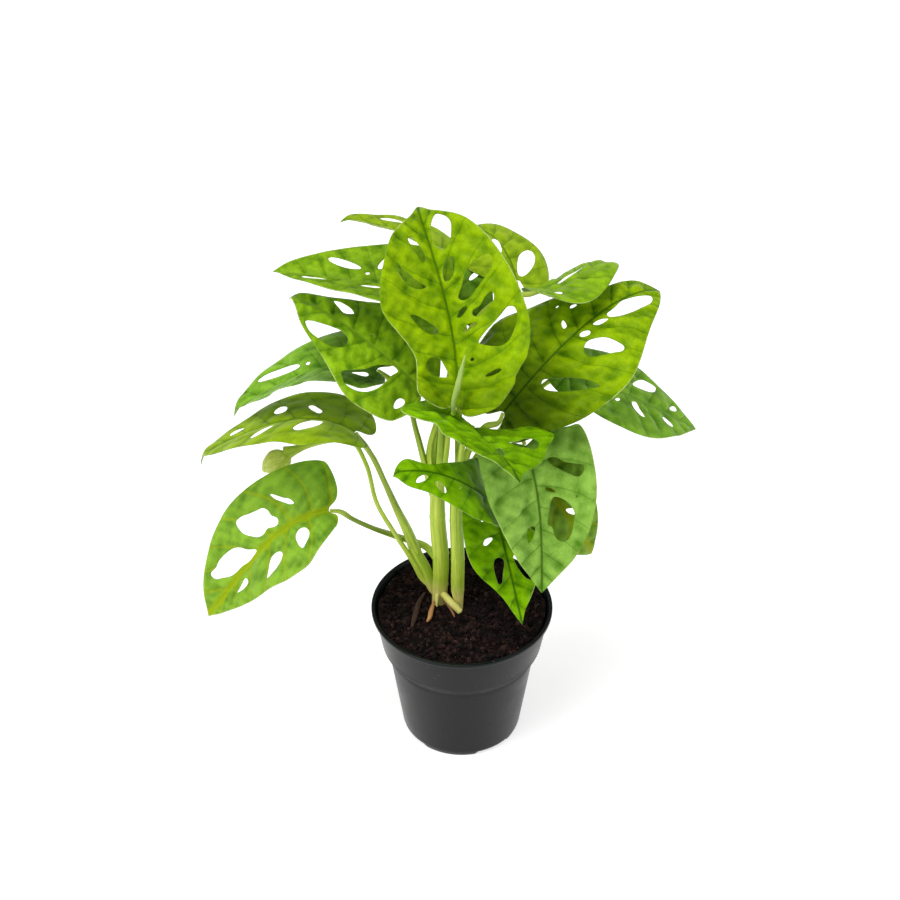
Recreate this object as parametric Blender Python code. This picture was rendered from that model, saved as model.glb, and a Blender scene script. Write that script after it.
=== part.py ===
# A young monstera adansonii, grown from two cuttings in a thin plastic nursery pot.
# Metres in Blender, but every length in the tables below is in millimetres and every
# angle in degrees. +Z is up, -Y faces the viewer and the origin is the centre of the
# pot's base.

import math

import bmesh
import bpy
import numpy as np
from mathutils import Vector
from mathutils.geometry import delaunay_2d_cdt

MM = 0.001
CLEARANCE = 0.35

# Pot
POT_HEIGHT = 101.0
RIM_RADIUS = 60.0
BASE_RADIUS = 40.0
WALL = 1.3
LIP_WIDTH = 2.2
LIP_HEIGHT = 2.5
COLLAR_FOOT_HEIGHT = 73.0
COLLAR_FOOT_RADIUS = 53.5
WALL_TOP_HEIGHT = 65.5
WALL_TOP_RADIUS = 49.0
BASE_THICKNESS = 4.5
POT_SEGMENTS = 56
NOTCH_COUNT = 4
NOTCH_FIRST = -57.0
NOTCH_SPAN = 36.0
NOTCH_HEIGHT = 3.0
NOTCH_INNER_RADIUS = 27.0
DRAIN_RADIUS = 4.0
DRAIN_PLACE = 32.0

# Soil
SOIL_TOP = 95.5
SOIL_BUMP = 0.8
SOIL_SEGMENTS = 48

# Leaves
BLADE = 0.8
HOLE_POINTS = 10
HOLE_MARGIN = 2.0
STATIONS = (0.25, 0.5, 0.75, 0.9)
PETIOLE_END = 1.2
NECK_LENGTH = 6.5

# One entry for each blade. base and tip are the two ends of its midrib, roll turns it
# about the line between them, and rise, droop and sway bend the midrib at its ends.
# fold lifts the two halves from the midrib and curl bends them towards their margins.
# left and right give each half's outline: how far the lobe reaches behind the base,
# then its half widths at the base and at the stations along the midrib. A plain hole is
# its place along and across the blade, its length, its width and the turn of its length.
# A hole with its own shape is a list of the points round it, along and across the blade.
LEAVES = {
    "leaf_crown": {
        "base": (-5, -30, 280), "tip": (-28, 77, 357), "roll": -27, "neck": 105,
        "rise": -18, "droop": 43, "sway": -13, "fold": (46, 12), "curl": (13, -8),
        "left": (4, 26, 29, 47, 29, 7), "right": (8, 32, 50, 47, 31, 8),
        "holes": [[(120, -10), (117.5, -13.5), (114, -16.5), (110, -18), (105, -16.5), (99.5, -13),
                  (97, -8), (100, -4.5), (104.5, -2.5), (117, -6)], [(91, -9), (91, -12.5),
                  (86.5, -12), (81.5, -10), (78.5, -6.5), (79, -3), (84, -3), (88, -5)], [(108, 14),
                  (109, 10.5), (106, 9), (101, 6.5), (95, 5.5), (92.5, 8.5), (96.5, 10.5),
                  (102.5, 13)], [(93.5, 27.5), (93, 25), (90, 24), (87, 20), (82, 16), (78, 10.5),
                  (77, 14.5), (79, 21.5), (83.5, 25.5), (88, 27.5)], [(83, -22.5), (85, -29.5),
                  (85, -35), (83, -36.5), (79, -36), (76.5, -34), (74, -30), (71, -25), (68, -20),
                  (65, -15), (65, -11), (67, -9), (74.5, -14), (79, -16.5)], [(65, -30.5),
                  (63, -32), (59.5, -30.5), (57.5, -27.5), (54.5, -22), (53.5, -18.5), (55, -16),
                  (57.5, -16.5), (59, -21), (63.5, -26.5)], [(56, -5.5), (58, -6.5), (60, -9),
                  (61, -12), (60, -13.5), (58.5, -12.5), (57, -10.5), (55.5, -7.5)], [(47, -8),
                  (49.5, -10), (50.5, -14), (50, -18), (48.5, -16.5), (47.5, -13), (46, -9.5)],
                  [(38.5, -17), (42.5, -20.5), (46.5, -26), (50, -31.5), (52.5, -35.5), (54.5, -39),
                  (53.5, -43), (50.5, -44), (45, -42.5), (40, -39.5), (35.5, -35.5), (34, -29.5),
                  (36, -21.5)], [(62, 27), (60.5, 22), (57, 17), (53, 11.5), (49, 9.5), (48, 12),
                  (48.5, 17), (52.5, 21.5), (57, 25)], [(28, 20.5), (31.5, 18.5), (32.5, 12.5),
                  (30.5, 10.5), (26, 8), (20.5, 5.5), (19.5, 7), (19, 13.5), (20, 17), (22.5, 20)],
                  [(18, -19), (20, -23), (21, -28.5), (20, -30.5), (18.5, -28), (17.5, -23)]],
    },
    "leaf_back_right": {
        "base": (34, 70, 307), "tip": (0, 116, 318), "roll": 11,
        "rise": 31, "droop": 52, "sway": -18, "fold": (3, 6), "curl": (-28, -19),
        "left": (6, 17, 30, 23, 14, 6), "right": (7, 22, 27, 22, 14, 6),
        "holes": [(28, 4, 18, 6, -25), (13, -10, 23, 10, -40)],
    },
    "leaf_behind_crown": {
        "base": (1.5, 44, 290), "tip": (-5, 82, 322), "roll": 0,
        "rise": 8, "droop": 12, "sway": 4, "fold": (-30, 4), "curl": (-10, -18),
        "left": (4, 10, 12, 13, 11, 5), "right": (4, 13, 20, 21, 15, 7),
        "holes": [(33, -11, 10, 3, -50)],
    },
    "leaf_back_top": {
        "base": (-5, 108, 304), "tip": (-78, 111, 330), "roll": 12,
        "rise": 10, "droop": 11, "sway": -3, "fold": (14, 13), "curl": (-3, -13),
        "left": (7, 23, 25, 22, 13, 6), "right": (7, 23, 25, 22, 11, 7),
        "holes": [(45, -11, 16, 4, 15), (44, 10, 12, 4, -20)],
    },
    "leaf_upper_left": {
        "base": (-14, 39, 318), "tip": (-118, 60, 321), "roll": 0,
        "rise": 1, "droop": 4, "sway": 2, "fold": (23, 23), "curl": (-21, -4),
        "left": (6, 23, 31, 25, 18, 8), "right": (6, 30, 34, 28, 18, 10),
        "holes": [(63, -12, 23, 5, -10), (77, 8, 17, 5, -5), (42, 9, 12, 4, 15),
                  (38, -17, 12, 5, 60)],
    },
    "leaf_mid_left": {
        "base": (-25, 1, 273), "tip": (-109, 56, 308), "roll": 0,
        "rise": 14, "droop": 17, "sway": 2, "fold": (2, 2), "curl": (-26, -7),
        "left": (6, 35, 42, 32, 20, 7), "right": (4, 21, 51, 38, 16, 7),
        "holes": [[(81.5, 15), (73, 10), (62, 6.5), (57, 7), (53.5, 9), (51.5, 14.5), (53, 18),
                  (58, 22), (66.5, 22), (73, 21), (78, 18.5)], [(80.5, -12), (77, -14), (72, -14.5),
                  (68, -14), (64.5, -11.5), (66, -9.5), (69, -7.5), (74.5, -9)], [(41, 31),
                  (37.5, 25.5), (32.5, 19.5), (30, 13), (26, 6.5), (22, 2.5), (18, 3), (18.5, 9.5),
                  (18, 17), (18.5, 23.5), (21.5, 30), (27, 34.5), (34, 36), (38, 34)],
                  (3, 21, 9, 5, 90)],
    },
    "leaf_rear_left": {
        "base": (-52, 27, 269), "tip": (-147, 31, 235), "roll": 7,
        "rise": 30, "droop": 9, "sway": -15, "fold": (13, 19), "curl": (2, -14),
        "left": (9, 34, 36, 30, 21, 7), "right": (9, 32, 36, 30, 20, 10),
        "holes": [(68, -11, 28, 8, -10), (51, 5, 9, 4, 40), (8, 13, 11, 8, 40)],
    },
    "leaf_low_left": {
        "base": (-66, 9, 234), "tip": (-168, 8, 216), "roll": 18,
        "rise": 44, "droop": 19, "sway": -3, "fold": (2, 11), "curl": (-19, -1),
        "left": (10, 20, 37, 30, 19, 10), "right": (10, 31, 36, 31, 15, 8),
        "holes": [(51, -15, 9, 8, 40), [(34, -16.5), (31.5, -17.5), (28, -14), (25, -10),
                  (26.5, -7), (30, -9), (33, -12.5)], [(40, 16.5), (37, 10), (32, 5.5), (27, 3),
                  (23, 4), (23.5, 10), (27.5, 16), (33, 19), (37.5, 19.5)], (61, 10, 17, 6, 30),
                  (80, -7, 11, 4, 15)],
    },
    "leaf_left_hanging": {
        "base": (-83, -8, 186), "tip": (-163, -35, 121), "roll": -8,
        "rise": 37, "droop": 1, "sway": -10, "fold": (10, 29), "curl": (-15, 6),
        "left": (3, 15, 38, 33, 22, 11), "right": (6, 32, 36, 35, 25, 14),
        "holes": [[(53.5, -25), (49, -25), (45, -23), (40, -21), (36, -19.5), (34.5, -16),
                  (34.5, -12.5), (32.5, -8.5), (34, -5.5), (37, -5.5), (41, -7.5), (45, -6.5),
                  (49, -7.5), (52, -11), (55, -17)], [(88.5, -16.5), (83, -16.5), (79, -17.5),
                  (72.5, -17), (66, -15), (62.5, -12), (60, -7.5), (55.5, -2.5), (60, -1.5),
                  (65, -1.5), (70.5, -3), (75.5, -3.5), (80.5, -5), (85.5, -9), (89, -12)],
                  [(29, -24.5), (24, -18), (21, -15), (20, -11.5), (22, -12), (25, -15.5),
                  (28, -20)], [(26.5, 11.5), (23, 7.5), (19.5, 8), (17.5, 11.5), (18, 16),
                  (21.5, 20.5), (25, 23), (27, 17.5)], [(58, 23), (53.5, 17.5), (49, 12.5),
                  (45, 12), (41, 14), (39, 18), (41.5, 21.5), (47, 23.5), (52, 23.5)], [(83.5, 9),
                  (79, 8), (75.5, 6.5), (73.5, 6), (72, 8), (72, 11.5), (75.5, 12.5),
                  (79.5, 11.5)]],
    },
    "leaf_front_centre": {
        "base": (6, -26, 264), "tip": (32, -97, 275), "roll": -21,
        "rise": 0, "droop": 16, "sway": -4, "fold": (4, 19), "curl": (17, -36),
        "left": (-3, 35, 45, 34, 21, 5), "right": (20, 48, 34, 33, 22, 9),
        "holes": [[(24, 15), (23.5, 21), (20.5, 26), (21.5, 31), (27, 32), (31.5, 31), (36.5, 26.5),
                  (36.5, 21.5), (32, 20), (29, 17)], [(39, 0.5), (36, 3.5), (39, 4.5), (49, 1),
                  (50, -2.5), (44, -1)], (21, -10, 9, 3, -60)],
    },
    "leaf_front_right": {
        "base": (38, -10, 240), "tip": (49, -58, 160), "roll": -10,
        "rise": 19, "droop": 2, "sway": 6, "fold": (20, 17), "curl": (-4, -6),
        "left": (2, 36, 38, 34, 22, 9), "right": (2, 35, 38, 31, 19, 8),
        "holes": [[(13, 10.5), (13, 15), (17, 20.5), (19.5, 27), (21, 31), (23.5, 31), (26.5, 27),
                  (24, 21.5), (20, 16), (16.5, 12)], [(29.5, 5), (29.5, 7.5), (31.5, 10.5),
                  (33, 11.5), (32.5, 8.5), (31, 6)], [(37.5, 8), (35.5, 10), (37, 14.5),
                  (40.5, 18.5), (46, 21.5), (52.5, 20.5), (58, 19), (63, 15), (61.5, 10), (57.5, 8),
                  (53.5, 7), (52, 4.5), (46.5, 5.5)], [(53, -10.5), (51.5, -8.5), (52.5, -4.5),
                  (56, -5.5), (60, -7.5), (61.5, -10), (57.5, -11)]],
    },
    "leaf_front_low": {
        "base": (19, 2, 188), "tip": (38, -50, 127), "roll": -14,
        "rise": 6, "droop": 4, "sway": -2, "fold": (8, 10), "curl": (-11, -19),
        "left": (7, 24, 27, 24, 14, 4), "right": (8, 22, 28, 26, 11, 5),
        "holes": [[(28, -15.5), (25.5, -14), (24.5, -10.5), (25, -7.5), (27, -9.5), (29, -14)],
                  [(39.5, -10.5), (38, -8.5), (38, -5.5), (40, -3), (43, -3.5), (47.5, -6),
                  (54, -8.5), (54, -11), (50, -12), (44, -12)], [(38.5, 4.5), (40.5, 8), (44.5, 10),
                  (51, 12.5), (56, 13.5), (54.5, 10), (49.5, 7), (44, 5)]],
    },
    "leaf_right_behind": {
        "base": (41, -6, 228), "tip": (82, -23, 163), "roll": 33,
        "rise": 10, "droop": 32, "sway": -8, "fold": (12, 11), "curl": (-12, -12),
        "left": (7, 25, 28, 24, 15, 6), "right": (7, 25, 28, 25, 16, 7),
        "holes": [(45, 4, 8, 4, 40), (32, 6, 9, 4, 55)],
    },
    "leaf_inner": {
        "base": (29, -28, 196), "tip": (-43, -46, 244), "roll": -15, "neck": 60,
        "rise": 23, "droop": 46, "sway": -1, "fold": (-1, -2), "curl": (-1, -1),
        "left": (4, 10, 20, 24, 17, 12), "right": (8, 26, 33, 17, 6, 10),
        "holes": [(76, 6, 10, 4, 35), (64, 10, 9, 6, -45)],
    },
    "leaf_right_large": {
        "base": (24, 1, 254), "tip": (124, 68, 302), "roll": 9,
        "rise": 25, "droop": 50, "sway": 0, "fold": (0, 6), "curl": (-26, -22),
        "left": (9, 50, 59, 38, 17, 13), "right": (11, 27, 47, 50, 29, 14),
        "holes": [[(90, -4), (97, -3), (104.5, -1), (110, -2), (118, -4), (124, -6.5), (122, -10),
                  (116.5, -13), (108.5, -14), (101, -13.5), (94, -11), (89.5, -7)], [(79, -3.5),
                  (82, -3.5), (86, -5.5), (88, -8), (84, -8), (80, -6)], [(68.5, -3), (71.5, -3),
                  (74.5, -6), (73, -8), (70, -7), (68, -5)], [(68, -10.5), (73.5, -13.5),
                  (77.5, -18), (79.5, -23), (81, -31), (78.5, -32.5), (73.5, -29.5), (68.5, -26),
                  (63, -21), (62, -15)], [(30, -9), (32.5, -7.5), (36.5, -11), (42.5, -18),
                  (48.5, -26.5), (51.5, -33), (53, -40), (47, -35.5), (40.5, -29), (33.5, -21),
                  (29.5, -13.5)], [(66.5, 12.5), (68.5, 13.5), (68.5, 11.5), (67, 8), (65, 8),
                  (65, 9.5)]],
    },
    "leaf_right_folded": {
        "base": (46, 38, 320), "tip": (98, 81, 312), "roll": -12,
        "rise": -21, "droop": 41, "sway": -3, "fold": (-2, 8), "curl": (-36, -25),
        "left": (5, 15, 24, 24, 14, 6), "right": (15, 21, 29, 25, 16, 6),
        "holes": [(33, 7, 26, 3, 5), (8, -9, 7, 4, -60)],
    },
    "leaf_far_right": {
        "base": (67, 31, 263), "tip": (153, 54, 205), "roll": 16,
        "rise": 13, "droop": 6, "sway": -3, "fold": (8, 7), "curl": (-12, -17),
        "left": (18, 24, 31, 30, 19, 8), "right": (16, 22, 31, 31, 19, 8),
        "holes": [[(49, 10.5), (58.5, 19), (65, 20), (72, 19), (70, 14.5), (65.5, 11.5),
                  (58, 10.5)], [(45, -6.5), (49, -4.5), (50.5, -10), (53.5, -15.5), (50.5, -16),
                  (47, -13.5), (45, -10.5)], (75.5, -9, 9, 5, -35), (85.5, 7, 8, 4, 30)],
    },
}

# The two cuttings. Each route is a list of points with the radius there. The first
# route is the cutting itself; the others leave it and are one piece with it. A route
# with a leaf's name ends at that leaf's base.
MAIN_STEM = {
    "trunk": [(-15, 10, 72, 5.0), (-15, 10, 97, 5.2), (-14, 9, 131, 5.6), (-16, 9, 165, 5.4),
              (-16, 8, 190, 4.8), (-15, 6, 210, 3.4)],
    "leaf_crown": [(-15, 6, 190, 3), (-10, 6, 226, 2), (-9, 6, 254, 1.8), (-9, 0, 272, 1.6),
                   (-7, -16, 278.5, 1.5)],
    "leaf_mid_left": [(-15, 6, 192, 3), (-14, 5.5, 226, 2), (-14, 4, 245, 1.8)],
    "leaf_behind_crown": [(-16, 8, 184, 2.6), (-17, 14, 205, 2.1), (-16, 24, 226, 1.9),
                          (-10, 31, 253, 1.7), (-4, 40, 277, 1.5)],
    "leaf_rear_left": [(-17, 8, 180, 3), (-24, 8, 211, 2), (-29, 13, 232, 1.7),
                       (-36, 22, 256, 1.6)],
    "leaf_upper_left": [(-16, 7, 188, 3), (-21, 10, 218, 2), (-14, 20, 243, 1.8),
                        (-7, 29, 272, 1.6), (-6, 37, 300, 1.5)],
    "leaf_back_top": [(-15, 7, 186, 3), (-11, 22, 225, 2), (-6, 60, 262, 1.8),
                      (-3, 92, 288, 1.5)],
    "low_fork": [(-16, 10, 99, 1.6), (-20, 10, 107, 2.8), (-24, 11, 122, 3.6), (-30, 11, 136, 3.6),
                 (-36, 10, 156, 2.8)],
    "leaf_low_left": [(-30, 11, 136, 3.4), (-36, 10, 156, 3), (-43, 10, 175, 2.2),
                      (-49, 9, 194, 1.9), (-56, 9, 214, 1.8)],
    "leaf_left_hanging": [(-16, 11, 130, 2.5), (-24, 16, 137, 2.2), (-35, 15, 143, 1.9),
                          (-46, 11, 151, 1.8), (-58, 2, 164, 1.6), (-70, -4, 176, 1.5)],
    "bud_stalk": [(-22, 10, 110, 2), (-26, 10, 115, 2.2), (-32, 9, 130, 1.9), (-45, 8, 157, 1.5),
                  (-55, 8, 180, 1.4), (-61, 11, 208, 1.4), (-70, 15, 224, 1.5), (-84, 22, 219, 1.7),
                  (-99, 26, 212, 1.9), (-110, 26, 207, 2.2)],
    "pale_stub": [(-13, 7, 105, 2.2), (-7, -2, 104, 2.4), (-1, -6, 99.5, 2.1)],
    "pale_tip": [(-16, 7, 107, 1.6), (-16.6, 3, 103, 1.3), (-16.6, 0.5, 98.5, 0.4)],
    "spike_sheath": [(-7, -17, 278, 1.2), (-6, -26, 275.5, 1.3), (-6, -33, 278.5, 1.4)],
}
SECOND_STEM = {
    "trunk": [(-2, 2, 74, 2.2), (-2, 2, 97, 2.6), (-3, 3, 112, 4.2), (-3, 4, 136, 4.4),
              (-4, 6, 178, 4.0), (-2, 6, 207, 3.2)],
    "leaf_front_centre": [(-2, 5, 190, 2.5), (-1, 0, 222, 1.9), (1, -6, 243, 1.7)],
    "leaf_back_right": [(-2, 6, 192, 2.5), (-3, 17, 232, 2), (-4, 42, 262, 1.8),
                        (6, 58, 274, 1.6), (21, 67, 286, 1.5)],
    "leaf_right_large": [(-2, 6, 194, 2.5), (4, 5, 224, 2.2), (14, 2, 244, 1.9)],
    "leaf_right_folded": [(-3, 7, 190, 2.5), (-2, 23, 236, 1.9), (-2, 34, 274, 1.7),
                          (10, 38, 302, 1.5), (26, 40, 315, 1.4)],
    "leaf_far_right": [(-3, 6, 182, 2.5), (18, 20, 218, 1.9), (42, 29, 247, 1.6)],
    "leaf_front_right": [(-2, 5, 186, 2.5), (11, 10, 218, 1.8), (27, 3, 232, 1.6)],
    "leaf_right_behind": [(-3, 5, 176, 2.5), (11, 10, 204, 1.8), (27, 3, 222, 1.6)],
    "leaf_inner": [(-3, 6, 165, 2.5), (5, 9, 188, 1.8), (15, 8, 198, 1.6), (23, -4, 197.5, 1.5)],
    "leaf_front_low": [(-3, 5, 150, 2.5), (4, 8, 176, 1.7), (12, 7, 190, 1.5)],
}
ROLLED_LEAF = [(-6, -34, 280, 0.9), (-5.5, -35, 288, 1.7), (-3.5, -34, 298, 1.8),
               (-1, -31, 309, 1.2), (1, -28, 316.5, 0.3)]
BUD = [(-111.4, 26, 206.2, 2.2), (-114, 25, 204, 6), (-119, 24, 201, 8.2), (-124, 23, 198, 6),
       (-128, 22, 195, 1.5)]
ORANGE_ROOT = [(-18.5, 4.5, 99.5, 0.9), (-20.5, -4, 97.9, 1.6), (-21.5, -10, 97.4, 1.4),
               (-23, -13, 97.1, 0.6)]
BROWN_ROOT = [(-11.6, 4.7, 99.5, 0.7), (-8, -1, 98.6, 0.8), (-6, -4.5, 97.4, 0.8),
              (-5, -8, 96.9, 0.5)]

# Colours as seen on the plant, with roughness
LEAF_GREEN = (0.16, 0.36, 0.02)
STALK_GREEN = (0.36, 0.50, 0.12)
BUD_GREEN = (0.55, 0.60, 0.24)
ROOT_ORANGE = (0.62, 0.30, 0.10)
ROOT_BROWN = (0.25, 0.10, 0.05)
SOIL_BROWN = (0.016, 0.009, 0.007)
POT_BLACK = (0.028, 0.028, 0.030)


def clear_scene():
    for item in list(bpy.data.objects):
        bpy.data.objects.remove(item, do_unlink=True)


def unit(vectors):
    return vectors / np.linalg.norm(vectors, axis=-1, keepdims=True)


def make_material(name, colour, roughness):
    material = bpy.data.materials.new(name)
    material.use_nodes = True
    shader = material.node_tree.nodes["Principled BSDF"]
    shader.inputs["Base Color"].default_value = (*colour, 1.0)
    shader.inputs["Roughness"].default_value = roughness
    shader.inputs["Metallic"].default_value = 0.0
    return material


def add_object(name, bm, material=None):
    bmesh.ops.recalc_face_normals(bm, faces=bm.faces)
    mesh = bpy.data.meshes.new(name)
    bm.to_mesh(mesh)
    bm.free()
    obj = bpy.data.objects.new(name, mesh)
    bpy.context.scene.collection.objects.link(obj)
    if material:
        mesh.materials.append(material)
        mesh.shade_smooth()
        mesh.set_sharp_from_angle(angle=math.radians(40))
    return obj


def smooth_curve(points, steps):
    # Centripetal Catmull-Rom curve through the points
    points = np.asarray(points, float)
    ends = np.vstack([2 * points[0] - points[1], points, 2 * points[-1] - points[-2]])
    pieces = []
    for i in range(1, len(ends) - 2):
        p0, p1, p2, p3 = ends[i - 1:i + 3]
        t1 = np.linalg.norm(p1 - p0) ** 0.5
        t2 = t1 + np.linalg.norm(p2 - p1) ** 0.5
        t3 = t2 + np.linalg.norm(p3 - p2) ** 0.5
        t = np.linspace(t1, t2, steps, endpoint=False)[:, None]
        a1 = (t1 - t) / t1 * p0 + t / t1 * p1
        a2 = (t2 - t) / (t2 - t1) * p1 + (t - t1) / (t2 - t1) * p2
        a3 = (t3 - t) / (t3 - t2) * p2 + (t - t2) / (t3 - t2) * p3
        b1 = (t2 - t) / t2 * a1 + t / t2 * a2
        b2 = (t3 - t) / (t3 - t1) * a2 + (t - t1) / (t3 - t1) * a3
        pieces.append((t2 - t) / (t2 - t1) * b1 + (t - t1) / (t2 - t1) * b2)
    return np.vstack(pieces + [points[-1:]])


def add_tube(bm, route, steps, sides):
    # A closed round tube along the route, whose points carry their radius
    curve = smooth_curve(route, steps)
    centres, radii = curve[:, :3] * MM, curve[:, 3] * MM
    along = unit(np.gradient(centres, axis=0))
    across = unit(np.cross(along[0], (0.3, 1.0, 0.2)))
    turns = np.arange(sides) * 2 * math.pi / sides
    rings = []
    for centre, radius, direction in zip(centres, radii, along):
        across = unit(across - across.dot(direction) * direction)
        other = np.cross(direction, across)
        ring = centre + radius * (np.outer(np.cos(turns), across) + np.outer(np.sin(turns), other))
        rings.append([bm.verts.new(point) for point in ring])
    for low, high in zip(rings, rings[1:]):
        for i in range(sides):
            j = (i + 1) % sides
            bm.faces.new((low[i], low[j], high[j], high[i]))
    bm.faces.new(rings[0][::-1])
    bm.faces.new(rings[-1])


def lathe(bm, profile, segments):
    # Turns a profile of (radius, height) points about +Z; end points on the axis close it
    rings = []
    for radius, height in profile:
        if radius == 0:
            rings.append([bm.verts.new((0, 0, height * MM))])
            continue
        turns = [2 * math.pi * i / segments for i in range(segments)]
        rings.append([bm.verts.new((radius * MM * math.cos(t), radius * MM * math.sin(t), height * MM))
                      for t in turns])
    for low, high in zip(rings, rings[1:]):
        for i in range(segments):
            j = (i + 1) % segments
            corners = [low[i % len(low)], low[j % len(low)], high[j % len(high)], high[i % len(high)]]
            corners = list(dict.fromkeys(corners))
            bm.faces.new(corners)


def combine(target, helper, operation, with_itself=False):
    # Applies a Boolean with the helper and removes the helper
    modifier = target.modifiers.new(operation.lower(), "BOOLEAN")
    modifier.operation = operation
    modifier.solver = "EXACT"
    modifier.use_self = with_itself
    modifier.object = helper
    graph = bpy.context.evaluated_depsgraph_get()
    result = bpy.data.meshes.new_from_object(target.evaluated_get(graph))
    target.modifiers.remove(modifier)
    target.data = result
    bpy.data.objects.remove(helper, do_unlink=True)


def midrib(leaf):
    # The midrib as a cubic curve, with the blade's normal and its left at each point
    base, tip = np.array(leaf["base"], float), np.array(leaf["tip"], float)
    chord = unit(tip - base)
    normal = unit(np.array([0, 0, 1.0]) - chord[2] * chord)
    left = np.cross(normal, chord)
    roll = math.radians(leaf["roll"])
    normal, left = (normal * math.cos(roll) - left * math.sin(roll),
                    left * math.cos(roll) + normal * math.sin(roll))
    rise, droop, sway = (math.radians(leaf[key]) for key in ("rise", "droop", "sway"))
    start = chord * math.cos(rise) + normal * math.sin(rise)
    start = start * math.cos(sway) + left * math.sin(sway)
    end = chord * math.cos(droop) - normal * math.sin(droop)
    end = end * math.cos(sway) - left * math.sin(sway)
    reach = 0.36 * np.linalg.norm(tip - base)
    p1, p2 = base + start * reach, tip - end * reach
    t = np.linspace(0, 1, 61)[:, None]
    curve = ((1 - t) ** 3 * base + 3 * (1 - t) ** 2 * t * p1
             + 3 * (1 - t) * t ** 2 * p2 + t ** 3 * tip)
    along = unit((1 - t) ** 2 * (p1 - base) + 2 * (1 - t) * t * (p2 - p1) + t ** 2 * (tip - p2))
    up = unit(normal - (along @ normal)[:, None] * along)
    steps = np.linalg.norm(np.diff(curve, axis=0), axis=1)
    reached = np.concatenate([[0], np.cumsum(steps)])
    return curve, along, up, np.cross(up, along), reached


def place_on_blade(leaf, points):
    # Bends flat points, given along and across the blade, onto the leaf in space
    curve, along, up, left, reached = midrib(leaf)
    x, y = points[:, 0], points[:, 1]
    inside = np.clip(x, 0, reached[-1])
    at = [np.stack([np.interp(inside, reached, values[:, k]) for k in range(3)], -1)
          for values in (curve, along, up, left)]
    centre = at[0] + unit(at[1]) * (x - inside)[:, None]
    on_left = y >= 0
    fold = np.radians(np.where(on_left, leaf["fold"][0], leaf["fold"][1]))
    curl = np.radians(np.where(on_left, leaf["curl"][0], leaf["curl"][1]))
    width = max(leaf["left"][1:] + leaf["right"][1:])
    reach = np.abs(y) / width
    sideways = width / curl * (np.sin(fold + curl * reach) - np.sin(fold))
    lift = -width / curl * (np.cos(fold + curl * reach) - np.cos(fold))
    return centre + unit(at[3]) * (sideways * np.sign(y))[:, None] + unit(at[2]) * lift[:, None]


def half_outline(leaf, side, length):
    # From the notch where the petiole ends, round the lobe and out to the tip
    back, width = leaf[side][0], leaf[side][1]
    points = [(1.6, 0), (1.0, 1.9), (-back * 0.7, width * 0.14 + 2.2), (-back, width * 0.42),
              (-back * 0.62, width * 0.8), (0, width)]
    points += [(length * place, half) for place, half in zip(STATIONS, leaf[side][2:])]
    points.append((length, 0))
    curve = smooth_curve(points, 2)
    curve[:, 1] *= 1 if side == "left" else -1
    return curve


def hole_outline(hole):
    if isinstance(hole, list):
        return np.array(hole, float)
    x, y, long_way, wide_way, turn = hole
    angles = np.arange(HOLE_POINTS) * 2 * math.pi / HOLE_POINTS
    a, b = np.cos(angles) * long_way / 2, np.sin(angles) * wide_way / 2
    turn = math.radians(turn)
    return np.stack([x + a * math.cos(turn) - b * math.sin(turn),
                     y + a * math.sin(turn) + b * math.cos(turn)], -1)


def way_to_loop(point, loop):
    # Distance from a flat point to a closed loop of points, negative inside the loop
    end = np.roll(loop, -1, axis=0)
    edge, offset = end - loop, point - loop
    share = np.clip((offset * edge).sum(1) / (edge ** 2).sum(1), 0, 1)
    distance = np.linalg.norm(offset - share[:, None] * edge, axis=1).min()
    crossed = (loop[:, 1] > point[1]) != (end[:, 1] > point[1])
    slope = edge[crossed, 0] / edge[crossed, 1]
    meets = loop[crossed, 0] + (point[1] - loop[crossed, 1]) * slope
    return -distance if (meets > point[0]).sum() % 2 else distance


def blade_triangles(leaf):
    # Flat points and triangles of the blade with its holes left open
    length = midrib(leaf)[4][-1]
    left = half_outline(leaf, "left", length)
    right = half_outline(leaf, "right", length)
    outer = np.vstack([left, right[-2:0:-1]])
    holes = [hole_outline(hole) for hole in leaf["holes"]]
    points, edges = [], []
    for loop in [outer] + holes:
        first = len(points)
        points += loop.tolist()
        edges += [(first + i, first + (i + 1) % len(loop)) for i in range(len(loop))]
    for place in np.linspace(0.08, 0.92, 9):
        half = [np.interp(place, (0, *STATIONS, 1), (*leaf[side][1:], 0)) for side in ("left", "right")]
        for share in (-0.62, -0.3, 0, 0.3, 0.62):
            y = share * (half[0] if share > 0 else half[1])
            point = [place * length, y]
            if all(way_to_loop(point, hole) > HOLE_MARGIN for hole in holes):
                points.append(point)
    flat, _, faces, _, _, _ = delaunay_2d_cdt([Vector(p) for p in points], edges, [], 1, 1e-5)
    flat = np.array([tuple(point) for point in flat])
    kept = [face for face in faces
            if all(way_to_loop(flat[list(face)].mean(axis=0), hole) > 0 for hole in holes)]
    return flat, kept


def make_leaf(name, leaf, material):
    flat, faces = blade_triangles(leaf)
    middle = place_on_blade(leaf, flat)
    corners = np.array(faces)
    turned = np.cross(middle[corners[:, 1]] - middle[corners[:, 0]],
                      middle[corners[:, 2]] - middle[corners[:, 0]])
    normals = np.zeros_like(middle)
    for k in range(3):
        np.add.at(normals, corners[:, k], turned)
    normals = unit(normals)
    bm = bmesh.new()
    top = [bm.verts.new(point) for point in (middle + normals * BLADE / 2) * MM]
    bottom = [bm.verts.new(point) for point in (middle - normals * BLADE / 2) * MM]
    sides = {}
    for face in faces:
        bm.faces.new([top[i] for i in face])
        bm.faces.new([bottom[i] for i in reversed(face)])
        for i, j in zip(face, face[1:] + face[:1]):
            if (j, i) in sides:
                del sides[(j, i)]
            else:
                sides[(i, j)] = True
    for i, j in sides:
        bm.faces.new((top[j], top[i], bottom[i], bottom[j]))
    return add_object(name, bm, material)


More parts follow.
